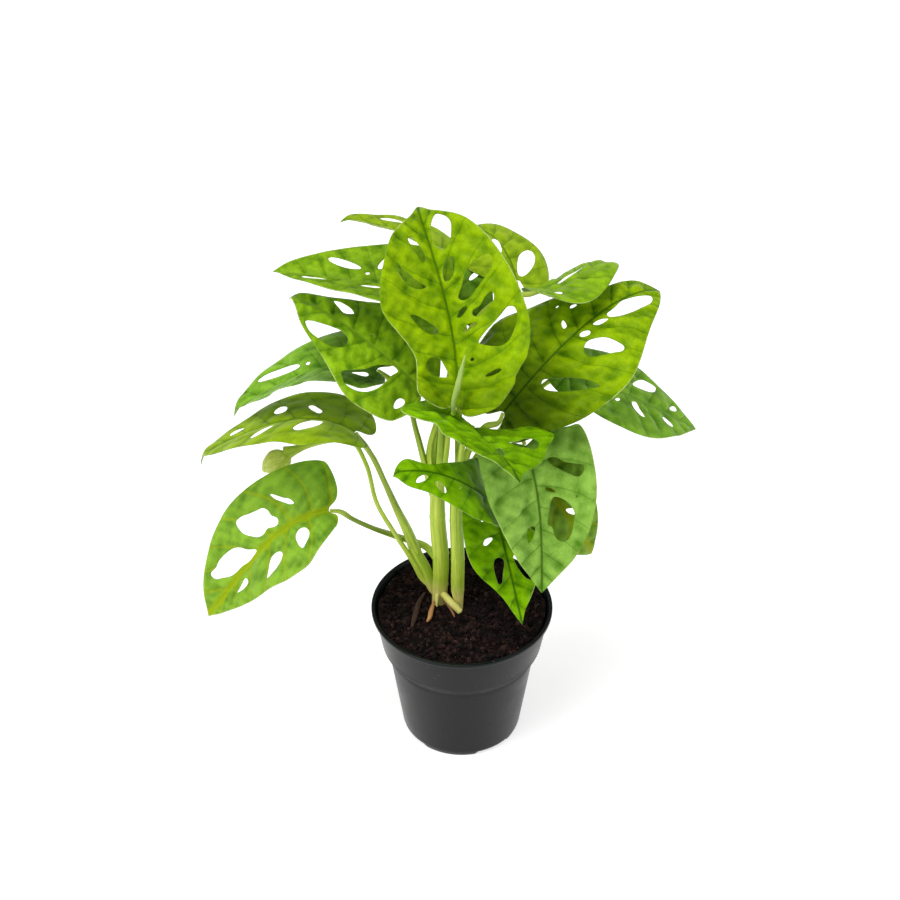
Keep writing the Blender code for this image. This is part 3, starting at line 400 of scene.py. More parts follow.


# Leaves: base and tip are the ends of the midrib; roll turns the blade about the line between
# them; rise, droop and sway bend the midrib; fold and curl bend the left and right halves.
# left and right give each half's outline: the reach of its lobe behind the base, then its half
# widths at the base and at the stations. A plain hole is its place along and across the blade,
# its length, its width and the turn of its length; a hole with its own shape is a list of points
# round it. neck is the angle at which the stalk meets the blade. hook drops the last stretch of
# the tip, dent pulls the margin in, and the painted shade entry says how much darker the blade is
# painted at its base and at its tip, and how far the base's painted shade reaches. tone names the
# blade's greens, veins is the number of its lateral veins, and quilt says how strongly the fields
# between them puff up.

stations = (0.25, 0.5, 0.75, 0.9)
leaves = {
    "leaf_crown": {
        "base": (-5, -30, 280), "tip": (-28, 77, 357), "roll": -27, "neck": 105,
        "rise": -18, "droop": 43, "sway": -13, "fold": (46, 12), "curl": (13, -8),
        "left": (4, 26, 29, 47, 29, 7), "right": (8, 32, 50, 47, 31, 8),
        "holes": [[(120, -10), (117.5, -13.5), (114, -16.5), (110, -18), (105, -16.5), (99.5, -13),
                  (97, -8), (100, -4.5), (104.5, -2.5), (117, -6)], [(91, -9), (91, -12.5),
                  (86.5, -12), (81.5, -10), (78.5, -6.5), (79, -3), (84, -3), (88, -5)], [(108, 14),
                  (109, 10.5), (106, 9), (101, 6.5), (95, 5.5), (92.5, 8.5), (96.5, 10.5),
                  (102.5, 13)], [(93.5, 27.5), (93, 25), (90, 24), (87, 20), (82, 16), (78, 10.5),
                  (77, 14.5), (79, 21.5), (83.5, 25.5), (88, 27.5)], [(83, -22.5), (85, -29.5),
                  (85, -35), (83, -36.5), (79, -36), (76.5, -34), (74, -30), (71, -25), (68, -20),
                  (65, -15), (65, -11), (67, -9), (74.5, -14), (79, -16.5)], [(65, -30.5),
                  (63, -32), (59.5, -30.5), (57.5, -27.5), (54.5, -22), (53.5, -18.5), (55, -16),
                  (57.5, -16.5), (59, -21), (63.5, -26.5)], [(56, -5.5), (58, -6.5), (60, -9),
                  (61, -12), (60, -13.5), (58.5, -12.5), (57, -10.5), (55.5, -7.5)], [(47, -8),
                  (49.5, -10), (50.5, -14), (50, -18), (48.5, -16.5), (47.5, -13), (46, -9.5)],
                  [(38.5, -17), (42.5, -20.5), (46.5, -26), (50, -31.5), (52.5, -35.5), (54.5, -39),
                  (53.5, -43), (50.5, -44), (45, -42.5), (40, -39.5), (35.5, -35.5), (34, -29.5),
                  (36, -21.5)], [(62, 27), (60.5, 22), (57, 17), (53, 11.5), (49, 9.5), (48, 12),
                  (48.5, 17), (52.5, 21.5), (57, 25)], [(28, 20.5), (31.5, 18.5), (32.5, 12.5),
                  (30.5, 10.5), (26, 8), (20.5, 5.5), (19.5, 7), (19, 13.5), (20, 17), (22.5, 20)],
                  [(18, -19), (20, -23), (21, -28.5), (20, -30.5), (18.5, -28), (17.5, -23)],
                  (29.5, -11, 3, 2, 90)],
        "tone": "bright", "veins": 9, "quilt": 1.0, "dent": (17.5, -1, 4.0, 3.5), "paintedShade": (0.35, 0, 26),
    },
    "leaf_back_right": {
        "base": (34, 70, 307), "tip": (0, 116, 318), "roll": 11,
        "rise": 31, "droop": 52, "sway": -18, "fold": (3, 6), "curl": (-28, -19),
        "left": (6, 17, 30, 23, 14, 6), "right": (7, 22, 27, 22, 14, 6),
        "holes": [(28, 4, 18, 6, -25), (13, -10, 23, 10, -40)],
        "tone": "olive", "veins": 6, "quilt": 0.5,
    },
    "leaf_behind_crown": {
        "base": (1.5, 44, 290), "tip": (-5, 82, 322), "roll": 0,
        "rise": 8, "droop": 12, "sway": 4, "fold": (-30, 4), "curl": (-10, -18),
        "left": (4, 10, 12, 13, 11, 5), "right": (4, 13, 20, 21, 15, 7),
        "holes": [(33, -11, 10, 3, -50)],
        "tone": "dark", "veins": 5, "quilt": 0.5, "paintedShade": (0.75, 0.5, 30),
    },
    "leaf_back_top": {
        "base": (-5, 108, 304), "tip": (-78, 111, 330), "roll": 12,
        "rise": 10, "droop": 11, "sway": -3, "fold": (14, 13), "curl": (-3, -13),
        "left": (7, 23, 25, 22, 13, 6), "right": (7, 23, 25, 22, 11, 7),
        "holes": [(45, -11, 16, 4, 15), (44, 10, 12, 4, -20)],
        "tone": "olive", "veins": 6, "quilt": 0.5, "hook": (7, 3),
    },
    "leaf_upper_left": {
        "base": (-14, 39, 318), "tip": (-118, 60, 321), "roll": 0,
        "rise": 1, "droop": 4, "sway": 2, "fold": (23, 23), "curl": (-21, -4),
        "left": (6, 23, 31, 25, 18, 8), "right": (6, 30, 34, 28, 18, 10),
        "holes": [(63, -12, 23, 5, -10), (77, 8, 17, 5, -5), (42, 9, 12, 4, 15),
                  (38, -17, 12, 5, 60), (47, -7, 3, 2, 0)],
        "tone": "fresh", "veins": 7, "quilt": 0.6, "paintedShade": (0.4, 0, 90),
    },
    "leaf_mid_left": {
        "base": (-25, 1, 273), "tip": (-109, 56, 308), "roll": 0,
        "rise": 14, "droop": 17, "sway": 2, "fold": (2, 2), "curl": (-26, -7),
        "left": (6, 35, 42, 32, 20, 7), "right": (4, 21, 51, 38, 16, 7),
        "holes": [[(81.5, 15), (73, 10), (62, 6.5), (57, 7), (53.5, 9), (51.5, 14.5), (53, 18),
                  (58, 22), (66.5, 22), (73, 21), (78, 18.5)], [(80.5, -12), (77, -14), (72, -14.5),
                  (68, -14), (64.5, -11.5), (66, -9.5), (69, -7.5), (74.5, -9)], [(41, 31),
                  (37.5, 25.5), (32.5, 19.5), (30, 13), (26, 6.5), (22, 2.5), (18, 3), (18.5, 9.5),
                  (18, 17), (18.5, 23.5), (21.5, 30), (27, 34.5), (34, 36), (38, 34)],
                  (3, 21, 9, 5, 90), (46, -5, 6, 1, 50)],
        "tone": "fresh", "veins": 7, "quilt": 0.8, "hook": (8, 5), "paintedShade": (0.3, 0, 26),
    },
    "leaf_rear_left": {
        "base": (-52, 27, 269), "tip": (-147, 31, 235), "roll": 7,
        "rise": 30, "droop": 9, "sway": -15, "fold": (13, 19), "curl": (2, -14),
        "left": (9, 34, 36, 30, 21, 7), "right": (9, 32, 36, 30, 20, 10),
        "holes": [(68, -11, 28, 8, -10), (51, 5, 9, 4, 40), (8, 13, 11, 8, 40),
                  (48, -8, 3, 3, 30)],
        "tone": "dark", "veins": 7, "quilt": 0.5, "hook": (8, 4), "paintedShade": (0.6, 0, 60),
    },
    "leaf_low_left": {
        "base": (-66, 9, 234), "tip": (-168, 8, 216), "roll": 18,
        "rise": 44, "droop": 19, "sway": -3, "fold": (2, 11), "curl": (-19, -1),
        "left": (10, 20, 37, 30, 19, 10), "right": (10, 31, 36, 31, 15, 8),
        "holes": [(51, -15, 9, 8, 40), [(34, -16.5), (31.5, -17.5), (28, -14), (25, -10),
                  (26.5, -7), (30, -9), (33, -12.5)], [(40, 16.5), (37, 10), (32, 5.5), (27, 3),
                  (23, 4), (23.5, 10), (27.5, 16), (33, 19), (37.5, 19.5)], (61, 10, 17, 6, 30),
                  (80, -7, 11, 4, 15)],
        "tone": "olive", "veins": 7, "quilt": 0.25, "hook": (8, 6),
    },
    "leaf_left_hanging": {
        "base": (-83, -8, 186), "tip": (-163, -35, 121), "roll": -8,
        "rise": 37, "droop": 1, "sway": -10, "fold": (10, 29), "curl": (-15, 6),
        "left": (3, 15, 38, 33, 22, 11), "right": (6, 32, 36, 35, 25, 14),
        "holes": [[(53.5, -25), (49, -25), (45, -23), (40, -21), (36, -19.5), (34.5, -16),
                  (34.5, -12.5), (32.5, -8.5), (34, -5.5), (37, -5.5), (41, -7.5), (45, -6.5),
                  (49, -7.5), (52, -11), (55, -17)], [(88.5, -16.5), (83, -16.5), (79, -17.5),
                  (72.5, -17), (66, -15), (62.5, -12), (60, -7.5), (55.5, -2.5), (60, -1.5),
                  (65, -1.5), (70.5, -3), (75.5, -3.5), (80.5, -5), (85.5, -9), (89, -12)],
                  [(29, -24.5), (24, -18), (21, -15), (20, -11.5), (22, -12), (25, -15.5),
                  (28, -20)], [(26.5, 11.5), (23, 7.5), (19.5, 8), (17.5, 11.5), (18, 16),
                  (21.5, 20.5), (25, 23), (27, 17.5)], [(58, 23), (53.5, 17.5), (49, 12.5),
                  (45, 12), (41, 14), (39, 18), (41.5, 21.5), (47, 23.5), (52, 23.5)], [(83.5, 9),
                  (79, 8), (75.5, 6.5), (73.5, 6), (72, 8), (72, 11.5), (75.5, 12.5),
                  (79.5, 11.5)]],
        "tone": "yellowed", "veins": 7, "quilt": 0.7,
    },
    "leaf_front_centre": {
        "base": (6, -26, 264), "tip": (32, -97, 275), "roll": -21,
        "rise": 0, "droop": 16, "sway": -4, "fold": (4, 19), "curl": (17, -36),
        "left": (-3, 35, 45, 34, 21, 5), "right": (20, 48, 34, 33, 22, 9),
        "holes": [[(24, 15), (23.5, 21), (20.5, 26), (21.5, 31), (27, 32), (31.5, 31), (36.5, 26.5),
                  (36.5, 21.5), (32, 20), (29, 17)], [(39, 0.5), (36, 3.5), (39, 4.5), (49, 1),
                  (50, -2.5), (44, -1)], (21, -10, 9, 3, -60)],
        "tone": "vivid", "veins": 6, "quilt": 0.9, "paintedShade": (0, 0.3, 60),
    },
    "leaf_front_right": {
        "base": (38, -10, 240), "tip": (49, -58, 160), "roll": -10,
        "rise": 19, "droop": 2, "sway": 6, "fold": (20, 17), "curl": (-4, -6),
        "left": (2, 36, 38, 34, 22, 9), "right": (2, 35, 38, 31, 19, 8),
        "holes": [[(13, 10.5), (13, 15), (17, 20.5), (19.5, 27), (21, 31), (23.5, 31), (26.5, 27),
                  (24, 21.5), (20, 16), (16.5, 12)], [(29.5, 5), (29.5, 7.5), (31.5, 10.5),
                  (33, 11.5), (32.5, 8.5), (31, 6)], [(37.5, 8), (35.5, 10), (37, 14.5),
                  (40.5, 18.5), (46, 21.5), (52.5, 20.5), (58, 19), (63, 15), (61.5, 10), (57.5, 8),
                  (53.5, 7), (52, 4.5), (46.5, 5.5)], [(53, -10.5), (51.5, -8.5), (52.5, -4.5),
                  (56, -5.5), (60, -7.5), (61.5, -10), (57.5, -11)], (37, 24, 2, 1.5, 0)],
        "tone": "cool", "veins": 7, "quilt": 0.9, "paintedShade": (0.2, 0, 30),
    },
    "leaf_front_low": {
        "base": (19, 2, 188), "tip": (38, -50, 127), "roll": -14,
        "rise": 6, "droop": 4, "sway": -2, "fold": (8, 10), "curl": (-11, -19),
        "left": (7, 24, 27, 24, 14, 4), "right": (8, 22, 28, 26, 11, 5),
        "holes": [[(28, -15.5), (25.5, -14), (24.5, -10.5), (25, -7.5), (27, -9.5), (29, -14)],
                  [(39.5, -10.5), (38, -8.5), (38, -5.5), (40, -3), (43, -3.5), (47.5, -6),
                  (54, -8.5), (54, -11), (50, -12), (44, -12)], [(38.5, 4.5), (40.5, 8), (44.5, 10),
                  (51, 12.5), (56, 13.5), (54.5, 10), (49.5, 7), (44, 5)], (4, -10, 4, 2, -50),
                  (12, -11, 5, 2.5, -55)],
        "tone": "vivid", "veins": 6, "quilt": 0.8, "paintedShade": (0.2, 0, 40),
    },
    "leaf_right_behind": {
        "base": (41, -6, 228), "tip": (82, -23, 163), "roll": 33,
        "rise": 10, "droop": 32, "sway": -8, "fold": (12, 11), "curl": (-12, -12),
        "left": (7, 25, 28, 24, 15, 6), "right": (7, 25, 28, 25, 16, 7),
        "holes": [(45, 4, 8, 4, 40), (32, 6, 9, 4, 55)],
        "tone": "yellowed", "veins": 6, "quilt": 0.7, "paintedShade": (0.5, 0.25, 60),
    },
    "leaf_inner": {
        "base": (29, -28, 196), "tip": (-43, -46, 244), "roll": -15, "neck": 60,
        "rise": 23, "droop": 46, "sway": -1, "fold": (-1, -2), "curl": (-1, -1),
        "left": (4, 10, 20, 24, 17, 12), "right": (8, 26, 33, 17, 6, 10),
        "holes": [(76, 6, 10, 4, 35), (64, 10, 9, 6, -45), (49, 5, 6, 1, 50)],
        "tone": "vivid", "veins": 7, "quilt": 0.3, "hook": (5, 4), "paintedShade": (0.1, 0, 50),
    },
    "leaf_right_large": {
        "base": (24, 1, 254), "tip": (124, 68, 302), "roll": 9,
        "rise": 25, "droop": 50, "sway": 0, "fold": (0, 6), "curl": (-26, -22),
        "left": (9, 50, 59, 38, 17, 13), "right": (11, 27, 47, 50, 29, 14),
        "holes": [[(90, -4), (97, -3), (104.5, -1), (110, -2), (118, -4), (124, -6.5), (122, -10),
                  (116.5, -13), (108.5, -14), (101, -13.5), (94, -11), (89.5, -7)], [(79, -3.5),
                  (82, -3.5), (86, -5.5), (88, -8), (84, -8), (80, -6)], [(68.5, -3), (71.5, -3),
                  (74.5, -6), (73, -8), (70, -7), (68, -5)], [(68, -10.5), (73.5, -13.5),
                  (77.5, -18), (79.5, -23), (81, -31), (78.5, -32.5), (73.5, -29.5), (68.5, -26),
                  (63, -21), (62, -15)], [(30, -9), (32.5, -7.5), (36.5, -11), (42.5, -18),
                  (48.5, -26.5), (51.5, -33), (53, -40), (47, -35.5), (40.5, -29), (33.5, -21),
                  (29.5, -13.5)], [(66.5, 12.5), (68.5, 13.5), (68.5, 11.5), (67, 8), (65, 8),
                  (65, 9.5)], (80, 17, 5, 2.5, -20), (73, 25, 2.5, 1.5, 0)],
        "tone": "bright", "veins": 10, "quilt": 1.0, "paintedShade": (0.9, 0, 72),
    },
    "leaf_right_folded": {
        "base": (46, 38, 320), "tip": (98, 81, 312), "roll": -12,
        "rise": -21, "droop": 41, "sway": -3, "fold": (-2, 8), "curl": (-36, -25),
        "left": (5, 15, 24, 24, 14, 6), "right": (15, 21, 29, 25, 16, 6),
        "holes": [(33, 7, 26, 3, 5), (8, -9, 7, 4, -60)],
        "tone": "fresh", "veins": 6, "quilt": 0.6,
    },
    "leaf_far_right": {
        "base": (67, 31, 263), "tip": (153, 54, 205), "roll": 16,
        "rise": 13, "droop": 6, "sway": -3, "fold": (8, 7), "curl": (-12, -17),
        "left": (18, 24, 31, 30, 19, 8), "right": (16, 22, 31, 31, 19, 8),
        "holes": [[(49, 10.5), (58.5, 19), (65, 20), (72, 19), (70, 14.5), (65.5, 11.5),
                  (58, 10.5)], [(45, -6.5), (49, -4.5), (50.5, -10), (53.5, -15.5), (50.5, -16),
                  (47, -13.5), (45, -10.5)], (75.5, -9, 9, 5, -35), (85.5, 7, 8, 4, 30),
                  (33.5, -9, 5, 2, 35)],
        "tone": "dark", "veins": 7, "quilt": 0.7, "paintedShade": (0.2, 0, 40),
    },
}
blade = {
    # cell is the grid's step, and notch the place on the midrib where the lobes part
    "cell": 0.8, "notch": 1.6, "thickness": 0.5, "marginThickness": 0.28, "marginTaper": 2,
    "midribKeel": 0.8, "keelWidth": 0.9, "midribGroove": 0.7, "grooveWidth": 1.1,
    # the fields between veins: their height, how sharp their creases are, and how much of a
    # crease is lost at the margin
    "lateralRelief": 3.2, "creaseSharpness": 0.55, "creaseLoss": 0.75,
    "blister": 1.2, "blisterWaves": ((15, 1.1), (7, 0.8)), "waviness": 1.2, "waveLength": 30,
    # painted shade and light from the relief: how much the crease, the blisters and an even share lighten
    # the green
    "creaseLight": 0.62, "blisterLight": 0.55, "evenLight": 0.16,
}
tones = {
    "vivid": {"shine": 0.12, "deep": (0.055, 0.185, 0.001), "light": (0.240, 0.500, 0.002),
              "vein": (0.030, 0.110, 0.001), "midrib": (0.030, 0.110, 0.001)},
    "bright": {"shine": 0.24, "deep": (0.065, 0.180, 0.001), "light": (0.300, 0.480, 0.001),
               "vein": (0.040, 0.125, 0.001), "midrib": (0.040, 0.125, 0.001)},
    "fresh": {"shine": 0.30, "deep": (0.060, 0.180, 0.002), "light": (0.280, 0.490, 0.008),
              "vein": (0.040, 0.125, 0.001), "midrib": (0.200, 0.360, 0.020)},
    # cool: its light green carries more blue, a painted bluish sheen
    "cool": {"shine": 0.40, "deep": (0.070, 0.210, 0.006), "light": (0.300, 0.540, 0.080),
             "vein": (0.045, 0.150, 0.004), "midrib": (0.040, 0.130, 0.004)},
    "yellowed": {"shine": 0.34, "deep": (0.048, 0.165, 0.012), "light": (0.245, 0.450, 0.034),
                 "vein": (0.350, 0.440, 0.002), "midrib": (0.320, 0.420, 0.003),
                 "midribWidth": 4.5, "veinWidth": 3.0},
    "dark": {"shine": 0.24, "deep": (0.050, 0.175, 0.005), "light": (0.250, 0.490, 0.035),
             "vein": (0.030, 0.110, 0.002), "midrib": (0.170, 0.340, 0.040)},
    "olive": {"shine": 0.20, "deep": (0.120, 0.235, 0.003), "light": (0.330, 0.490, 0.014),
              "vein": (0.060, 0.135, 0.002), "midrib": (0.090, 0.190, 0.004)},
}
underside = {"shine": 0.20, "deep": (0.16, 0.30, 0.05), "light": (0.26, 0.42, 0.09),
             "vein": (0.34, 0.48, 0.14), "midrib": (0.42, 0.54, 0.20)}
skin = {
    # how much each of these turns the green from deep to light, and what is taken off in all
    "reliefShadeShare": 0.80, "broadShare": 0.32, "fineShare": 0.20, "lessLight": 0.12,
    "broadSize": 16.0, "fineSize": 2.6, "midribWidth": 1.2, "veinWidth": 0.7, "netSize": 2.4,
    "netShare": 0.14, "lateralVeinAndShade": 0.50, "midribShare": 0.8,
    # the first colour on the next line darkens the green where painted shade lies at a blade's base or
    # tip
    "paintedShade": (0.22, 0.26, 0.10), "margin": (0.50, 0.60, 0.20), "marginRun": 60.0, "marginShare": 0.9,
    "cutEdge": ((0.26, 0.38, 0.07), (0.08, 0.18, 0.01)), "relief": 0.10,
}
glow = {"Subsurface Weight": 0.12, "Subsurface Radius": (0.5, 1.0, 0.2), "Subsurface Scale": 0.001}
gloss = {"Roughness": 0.38, "IOR": 1.33, "Specular Tint": (0.85, 1.0, 0.35), **glow}
matte = {"Roughness": 0.55, "Specular Tint": (0.90, 1.0, 0.60), **glow}


def makeBladeMaterial(name, tone, constants):
    # Green with painted light on the pillows between the veins and painted shade in their creases,
    # painted shade at a blade's base or tip, and a margin that is pale in places
    material, tree, shader = newMaterial(name, {**constants, "Specular IOR Level": tone["shine"]})
    veins = useGroup(tree, bladeVeins, {"Net Size": skin["netSize"],
                                        "Midrib Width": tone.get("midribWidth", skin["midribWidth"]),
                                        "Lateral Width": tone.get("veinWidth", skin["veinWidth"])})
    broad = blotches(tree, veins["Flat"], skin["broadSize"], 3.0)
    fine = blotches(tree, veins["Flat"], skin["fineSize"], 4.0)
    run = blotches(tree, veins["Flat"], skin["marginRun"], 1.0)
    # the share of light green: painted shade and light of the relief, and blotches of the green's own
    # tone
    share = weigh(tree, (veins["ReliefShade"], skin["reliefShadeShare"]), (broad, skin["broadShare"]),
                  (fine, skin["fineShare"]))
    share = calc(tree, "SUBTRACT", share, skin["lessLight"])
    colour = mixColour(tree, share, tone["deep"], tone["light"])
    colour = tint(tree, colour, veins["Net"], skin["netShare"], tone["vein"])
    # lateral vein lines: partly the veins' own colour, partly painted shade in the creases they lie in
    colour = tint(tree, colour, veins["Laterals"], skin["lateralVeinAndShade"], tone["vein"])
    colour = tint(tree, colour, veins["Midrib"], skin["midribShare"], tone["midrib"])
    # painted shade: darker towards the base or the tip, as each leaf's entry gives
    paintedShade = readAttribute(tree, "paintedShade", "Fac")
    colour = mixColour(tree, paintedShade, colour, skin["paintedShade"], "MULTIPLY")
    pale = rampUp(tree, run, 0.4, 0.7, 0.0, skin["marginShare"])
    colour = tint(tree, colour, veins["Margin"], pale, skin["margin"])
    rough = constants["Roughness"]
    setInputs(tree, shader, {"Base Color": colour,
                             "Roughness": rampUp(tree, fine, 0.0, 1.0, rough - 0.06, rough + 0.10)})
    height = calc(tree, "SUBTRACT", times(tree, fine, 0.5), veins["Net"])
    addBump(tree, shader, height, skin["relief"], 0.6)
    return material


def makeRimMaterial():
    # The cut face of the margin, a little uneven along its run
    material, tree, shader = newMaterial("bladeMargin", {"Roughness": 0.5})
    value = blotches(tree, readAttribute(tree, "flat"), 6.0)
    setInputs(tree, shader, {"Base Color": mixColour(tree, value, *skin["cutEdge"])})
    return material


def bendMidrib(leaf):
    # A cubic curve from base to tip whose ends leave the line between them by rise, droop and sway
    base, tip = np.array(leaf["base"], float), np.array(leaf["tip"], float)
    chord = unit(tip - base)
    normal = unit(np.array([0, 0, 1.0]) - chord[2] * chord)
    left = np.cross(normal, chord)
    roll, rise, droop, sway = (math.radians(leaf[key]) for key in ("roll", "rise", "droop", "sway"))
    normal, left = (normal * math.cos(roll) - left * math.sin(roll),
                    left * math.cos(roll) + normal * math.sin(roll))
    start = (chord * math.cos(rise) + normal * math.sin(rise)) * math.cos(sway) + left * math.sin(sway)
    end = (chord * math.cos(droop) - normal * math.sin(droop)) * math.cos(sway) - left * math.sin(sway)
    reach = 0.36 * np.linalg.norm(tip - base)  # about a third, so that the curve bends evenly
    p1, p2 = base + start * reach, tip - end * reach
    t = np.linspace(0, 1, 241)[:, None]
    curve = (1 - t) ** 3 * base + 3 * (1 - t) ** 2 * t * p1 + 3 * (1 - t) * t ** 2 * p2 + t ** 3 * tip
    along = unit((1 - t) ** 2 * (p1 - base) + 2 * (1 - t) * t * (p2 - p1) + t ** 2 * (tip - p2))
    up = unit(normal - (along @ normal)[:, None] * along)
    steps = np.linalg.norm(np.diff(curve, axis=0), axis=1)
    return {"curve": curve, "along": along, "up": up, "left": np.cross(up, along),
            "reached": np.concatenate([[0], np.cumsum(steps)])}


def placeOnBlade(leaf, rib, x, y):
    # Along the midrib by x, then sideways on an arc that starts at the fold and bends by the curl
    inside = np.clip(x, 0, rib["reached"][-1])
    curve, along, up, left = (np.stack([np.interp(inside, rib["reached"], rib[key][:, k])
                                        for k in range(3)], -1)
                              for key in ("curve", "along", "up", "left"))
    onLeft = y >= 0
    fold = np.radians(np.where(onLeft, leaf["fold"][0], leaf["fold"][1]))
    curl = np.radians(np.where(onLeft, leaf["curl"][0], leaf["curl"][1]))
    width = widthOf(leaf)
    reach = np.abs(y) / width
    sideways = width / curl * (np.sin(fold + curl * reach) - np.sin(fold))
    lift = -width / curl * (np.cos(fold + curl * reach) - np.cos(fold))
    length, drop = leaf.get("hook", (1, 0))
    lift = lift - drop * np.clip((inside - rib["reached"][-1]) / length + 1, 0, 1) ** 2
    return (curve + unit(along) * (x - inside)[:, None] + unit(left) * (sideways * np.sign(y))[:, None]
            + unit(up) * lift[:, None])


def bladeOutline(leaf, length):
    # Both halves' smooth outlines as one loop, from the notch round the left half to the tip and back
    halves = []
    for side, sign in (("left", 1), ("right", -1)):
        back, width = leaf[side][0], leaf[side][1]
        points = [(blade["notch"], 0), (1.0, 1.9), (-back * 0.7, width * 0.14 + 2.2),
                  (-back, width * 0.42), (-back * 0.62, width * 0.8), (0, width)]
        points += [(length * place, half) for place, half in zip(stations, leaf[side][2:])]
        points.append((length, 0))
        halves.append(smoothCurve(points, 8) * (1, sign))
    loop = np.vstack([halves[0], halves[1][-2:0:-1]])
    place, sign, depth, reach = leaf.get("dent", (0, 1, 0, 1))
    nearMidrib = 12
    pull = depth * np.exp(-((loop[:, 0] - place) / reach) ** 2) * (np.sign(loop[:, 1]) == sign)
    loop[:, 1] -= sign * pull * (np.abs(loop[:, 1]) > nearMidrib)
    return loop


def holeOutline(hole, seed):
    # A smooth closed curve through the hole's own points, or else an oval that is a little wider
    # at one end and wavers as real holes do
    if isinstance(hole, list):
        steps = 5
        curve = smoothCurve(hole[-2:] + hole + hole[:2], steps)
        return curve[2 * steps:(2 + len(hole)) * steps]
    x, y, longWay, wideWay, turn = hole
    chance = np.random.default_rng(seed)
    count = 44
    around = np.arange(count) * 2 * math.pi / count
    egg = chance.uniform(-0.22, 0.22)
    waver = 1 + 0.05 * np.sin(2 * around + chance.uniform(0, 6))
    waver = waver + 0.04 * np.sin(3 * around + chance.uniform(0, 6))
    a = np.cos(around) * longWay / 2 * waver
    b = np.sin(around) * wideWay / 2 * waver * (1 + egg * np.cos(around))
    turn = math.radians(turn)
    return np.stack([x + a * math.cos(turn) - b * math.sin(turn),
                     y + a * math.sin(turn) + b * math.cos(turn)], -1)


def widthOf(leaf):
    # The widest half, which stands for how far the blade reaches from its midrib
    return max(leaf["left"][1:] + leaf["right"][1:])


def depthInLoop(points, loop):
    # The way from each point to the loop, positive inside it, and the loop's nearest point
    start, end = loop, np.roll(loop, -1, axis=0)
    edge = end - start
    offset = points[:, None] - start[None]
    share = np.clip((offset * edge).sum(-1) / (edge ** 2).sum(-1), 0, 1)
    gap = ((offset - share[..., None] * edge) ** 2).sum(-1)
    nearest = gap.argmin(1)
    rows = np.arange(len(points))
    near = start[nearest] + share[rows, nearest][:, None] * edge[nearest]
    above = start[:, 1] > points[:, 1:]
    crosses = (above != (end[:, 1] > points[:, 1:]))
    rise = np.where(edge[:, 1] == 0, 1, edge[:, 1])
    crosses &= offset[..., 0] < edge[:, 0] * offset[..., 1] / rise
    inside = crosses.sum(1) % 2 == 1
    return np.where(inside, 1, -1) * np.sqrt(gap[rows, nearest]), near


def wayToEdges(leaf, outline, points, seed):
    # For each point the way to the nearest edge, positive on the blade, that edge's nearest
    # point, and the way to the outline alone
    besideHole = 4  # a hole counts this far round it
    depth, near = depthInLoop(points, outline)
    outer = depth.copy()
    for number, hole in enumerate(leaf["holes"]):
        loop = holeOutline(hole, seed + number)
        low, high = loop.min(0) - besideHole, loop.max(0) + besideHole
        around = ((points > low) & (points < high)).all(1)
        inHole, holeNear = depthInLoop(points[around], loop)
        kept = ((np.abs(inHole) < np.abs(depth[around])) | (inHole > 0)) & (depth[around] > 0)
        chosen = np.flatnonzero(around)[kept]
        depth[chosen] = -inHole[kept]
        near[chosen] = holeNear[kept]
    return depth, near, outer


def cutBlade(leaf, length, cell, seed):
    # A square grid over the outline. Points within half a cell of an edge slide onto it, and
    # faces with a corner in a hole or outside are left out, or halved where the edge cuts across
    outline = bladeOutline(leaf, length)
    low, high = outline.min(0) - cell, outline.max(0) + cell
    xs = np.arange(math.floor(low[0] / cell), math.ceil(high[0] / cell) + 1) * cell
    ys = np.arange(math.floor(low[1] / cell), math.ceil(high[1] / cell) + 1) * cell
    points = np.stack(np.meshgrid(xs, ys, indexing="ij"), -1).reshape(-1, 2)
    depth, near, outer = wayToEdges(leaf, outline, points, seed)
    state = np.where(depth > 0, 1, -1)  # 1 on the blade, 0 on an edge and -1 off it
    slid = np.abs(depth) < cell / 2
    state[slid] = 0
    points[slid] = near[slid]
    depth[slid] = 0
    for corner in ((length, 0), (blade["notch"], 0)):
        nearest = ((points - corner) ** 2).sum(1).argmin()
        points[nearest], state[nearest], depth[nearest] = corner, 0, 0
    quads = gridFaces(len(xs), len(ys), False)[:, ::-1]
    corners = state[quads]
    whole = quads[(corners >= 0).all(1) & ((corners == 1).any(1))]
    rim = quads[(corners == 0).all(1)]
    if len(rim):
        middle = points[rim].mean(1)
        whole = np.vstack([whole, rim[insideBlade(middle, outline, leaf, seed)]])
    cut = quads[((corners == -1).sum(1) == 1)]
    outside = (state[cut] == -1).argmax(1)
    order = (outside[:, None] + [1, 2, 3]) % 4
    halves = np.take_along_axis(cut, order, 1)
    middle = points[halves].mean(1)
    halves = halves[(state[halves] == 1).any(1) | insideBlade(middle, outline, leaf, seed)]
    used, index = np.unique(np.concatenate([whole.ravel(), halves.ravel()]), return_inverse=True)
    whole = index[:whole.size].reshape(-1, 4)
    halves = index[whole.size:].reshape(-1, 3)
    return points[used], depth[used], outer[used], whole, halves


def insideBlade(points, outline, leaf, seed):
    # True where a flat point is inside the outline and in no hole
    inside = depthInLoop(points, outline)[0] > 0
    for number, hole in enumerate(leaf["holes"]):
        inside &= depthInLoop(points, holeOutline(hole, seed + number))[0] < 0
    return inside


